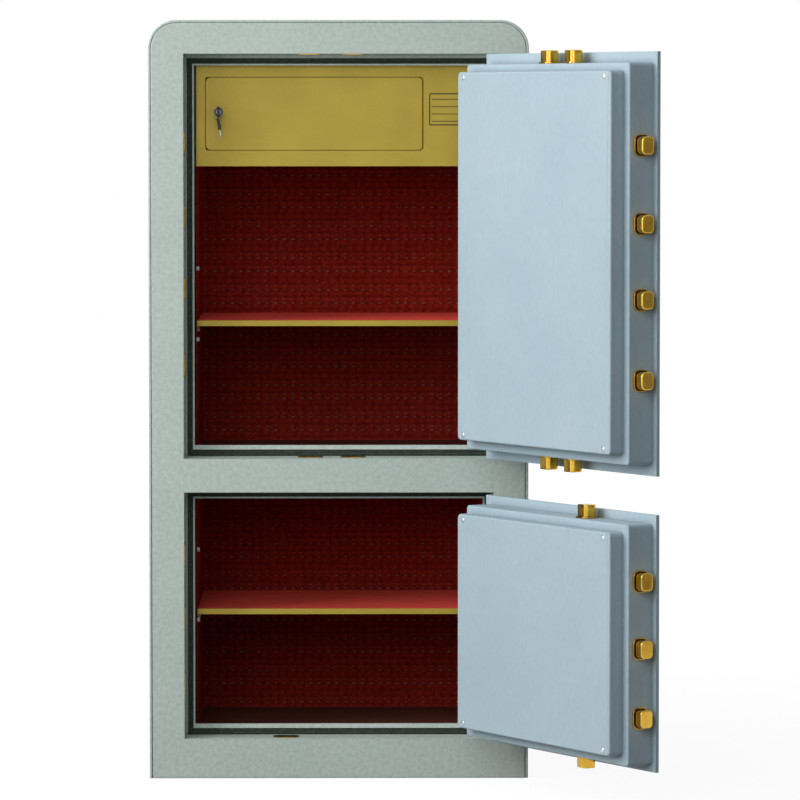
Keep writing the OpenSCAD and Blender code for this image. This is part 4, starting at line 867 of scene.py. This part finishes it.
# Keypad: a rounded housing, and dished keys with their digits
padShape = {"roll": 2.2 * mm, "face": 0.05 * mm, "keyCorner": 2.6 * mm, "keyRoll": 1.2 * mm,
            "keyProud": 0.3 * mm, "dish": 0.35 * mm, "digit": 9 * mm, "digitThick": 0.1 * mm,
            "digitIn": 0.55 * mm}
box = shutBox("keypad_case")
face = box[0][1] + padShape["face"]
softened("keypad_case", padShape["roll"], 3,
         lambda p, box=box, face=face: (shut(p)[:, 1] < face) & atRim(p, *box), clamp=False)
legends = [("key_" + digit, digit) for digit in "123456789"]
legends += [("key_star", "*"), ("key_0", "0"), ("key_hash", "#")]
for node, legend in legends:
    low, high = shutBox(node)
    middle, (width, thick, height) = (low + high) / 2, high - low
    rows = rolled(thick - padShape["keyProud"], padShape["keyRoll"])
    rings = stacked(width, height, padShape["keyCorner"], rows + (0, low[1] + padShape["keyProud"]))
    # the face sinks towards the key's middle, and its last ring is the first of the rolled edge
    dished = domed(rings[:1], 7, rings[0, 0, 2], padShape["dish"])[:-1]
    cap = facing(np.vstack([dished, rings]), (middle[0], 0, middle[2]))
    piece(node + "_cap", [skin(hang(cap))], bodyOf[node], "button_plastic", (node,))
    words = bpy.data.curves.new(node + "_digit", "FONT")
    words.body, words.size, words.align_x, words.align_y = legend, padShape["digit"], "CENTER", "CENTER"
    words.extrude, words.resolution_u = padShape["digitThick"], 4
    drawn = placed("lettering", words)
    flat = bpy.data.meshes.new_from_object(drawn.evaluated_get(bpy.context.evaluated_depsgraph_get()))
    bpy.data.objects.remove(drawn)
    points = read(flat.vertices, "co", 3)
    if legend == "*":  # the star sits high in its line, so it is brought to the key's middle
        points[:, 1] -= points[:, 1].max() / 2 + points[:, 1].min() / 2
    onFace = np.stack([middle[0] + points[:, 0], low[1] + padShape["digitIn"] - points[:, 2],
                       middle[2] + points[:, 1]], 1)
    flat.vertices.foreach_set("co", hang(onFace).astype(np.float32).ravel())
    flat.materials.clear()
    flat.materials.append(ink)
    flat.update()
    settle(placed(node + "_digit", flat), bodyOf[node])
print("stage: keypad")

# Camera at the photograph's viewpoint: pitch down, turned a little to the right, no shift

view = {"place": (0.02265, -8.43579, 1.05981), "pitch": 3.2045, "yaw": 0.5192, "lens": 233.754, "sensor": 36,
        "clip": (0.5, 60)}
camera = placed("camera", bpy.data.cameras.new("camera"))
camera.location = view["place"]
camera.rotation_euler = (math.radians(90 - view["pitch"]), 0, math.radians(-view["yaw"]))
camera.data.lens, camera.data.sensor_width = view["lens"], view["sensor"]
camera.data.clip_start, camera.data.clip_end = view["clip"]
bpy.context.scene.camera = camera

# Light: a large soft lamp from the left, in front of the open doors, and a weak one from the camera's side


def towards(turn, up):
    # unit vector from the safe, turn degrees round from the front to the left and up degrees above level
    turn, up = math.radians(turn), math.radians(up)
    return Vector((-math.sin(turn) * math.cos(up), -math.cos(turn) * math.cos(up), math.sin(up)))


middle = Vector((0.15, -0.3, 0.65))
lights = {"key": {"turn": 70, "up": 20, "far": 2.5, "size": 2.2, "level": 0.76},
          "front": {"turn": 10, "up": 21, "far": 4.0, "size": 2.2, "level": 0.21}}
for name, lamp in lights.items():
    way = towards(lamp["turn"], lamp["up"])
    light = bpy.data.lights.new(name, "AREA")
    light.size = lamp["size"]
    # a white matt face square to the lamp comes out at its level
    light.energy = lamp["level"] * math.pi ** 2 * lamp["far"] ** 2
    holder = placed(name, light)
    holder.location = middle + way * lamp["far"]
    holder.rotation_mode = "QUATERNION"
    holder.rotation_quaternion = way.to_track_quat("Z", "Y")


def flatSheet(name, width, height):
    # a level rectangle round the origin
    x, y = width / 2, height / 2
    mesh = bpy.data.meshes.new(name)
    mesh.from_pydata([(-x, -y, 0), (x, -y, 0), (x, y, 0), (-x, y, 0)], [], [(0, 1, 2, 3)])
    return placed(name, mesh)


# Dark flags that only reflections see, as photographers stand beside brass, so that it shows its shape
flagSize = (2.4, 3.2)
flags = {"flagRight": {"place": (2.6, -2.2, 1.0), "looks": (-0.9, 0.45, 0.0), "tone": 0.3},
         "flagLeft": {"place": (-2.8, 1.4, 1.0), "looks": (0.95, -0.3, 0.0), "tone": 0.02}}
for name, board in flags.items():
    flag = flatSheet(name, *flagSize)
    turn = Vector(board["looks"]).to_track_quat("Z", "Y").to_matrix().to_4x4()
    flag.data.transform(Matrix.Translation(board["place"]) @ turn)
    flag.visible_camera = flag.visible_diffuse = flag.visible_shadow = flag.visible_transmission = False
    cloth, tree = emptyMaterial(name)
    glow = addNode(tree, "Emission", {"Color": (board["tone"],) * 3 + (1,)})
    addNode(tree, "OutputMaterial", {"Surface": glow.outputs[0]})
    flag.data.materials.append(cloth)

# World: white where it is seen, and for the rest a soft dome, base + rise * the cosine from its bright side
dome = {"turn": 84, "up": 8, "base": 0.05, "rise": 0.92}
world = bpy.data.worlds.new("studio")
bpy.context.scene.world = world
world.use_nodes = True
sky = world.node_tree
sky.nodes.clear()
rays = addNode(sky, "LightPath").outputs
seen = worked(sky, "MAXIMUM", rays["Is Camera Ray"], rays["Is Glossy Ray"])
seen = worked(sky, "MAXIMUM", seen, rays["Is Transmission Ray"])
place = addNode(sky, "TexCoord").outputs["Generated"]
bright = towards(dome["turn"], dome["up"])
aim = addNode(sky, "VectorMath", {"operation": "DOT_PRODUCT", 0: place, 1: bright}).outputs["Value"]
low = rangeOf(sky, aim, dome["base"], dome["base"] + dome["rise"], (0, 1))
level = rangeOf(sky, seen, low, 1.0, (0, 1))
air = addNode(sky, "Background", {"Color": (1, 1, 1, 1), "Strength": level})
addNode(sky, "OutputWorld", {"Surface": air.outputs[0]})

# Floor: pale paper that keeps the safe's shadow and runs into the white of the world
floorLook = {"size": 28.0, "matt": 0.1, "tones": (0.94, 1.0), "away": (0.6, 3.0)}
floor = flatSheet("floor", floorLook["size"], floorLook["size"])
paper, tree = emptyMaterial("floorPaper")
rays = addNode(tree, "LightPath").outputs
matt = addNode(tree, "BsdfDiffuse", {"Color": (floorLook["matt"],) * 3 + (1,)})
place = addNode(tree, "TexCoord").outputs["Object"]
away = addNode(tree, "VectorMath", {"operation": "LENGTH", 0: place}).outputs["Value"]
pale = rangeOf(tree, away, *floorLook["tones"], floorLook["away"])
shown = worked(tree, "MAXIMUM", rays["Is Camera Ray"], rays["Is Glossy Ray"])
glow = addNode(tree, "Emission", {"Color": (1, 1, 1, 1), "Strength": worked(tree, "MULTIPLY", shown, pale)})
both = addNode(tree, "AddShader", {0: matt.outputs[0], 1: glow.outputs[0]})
addNode(tree, "OutputMaterial", {"Surface": both.outputs[0]})
floor.data.materials.append(paper)

bpy.context.scene.view_settings.view_transform = "Standard"
print("stage: camera, light and floor")
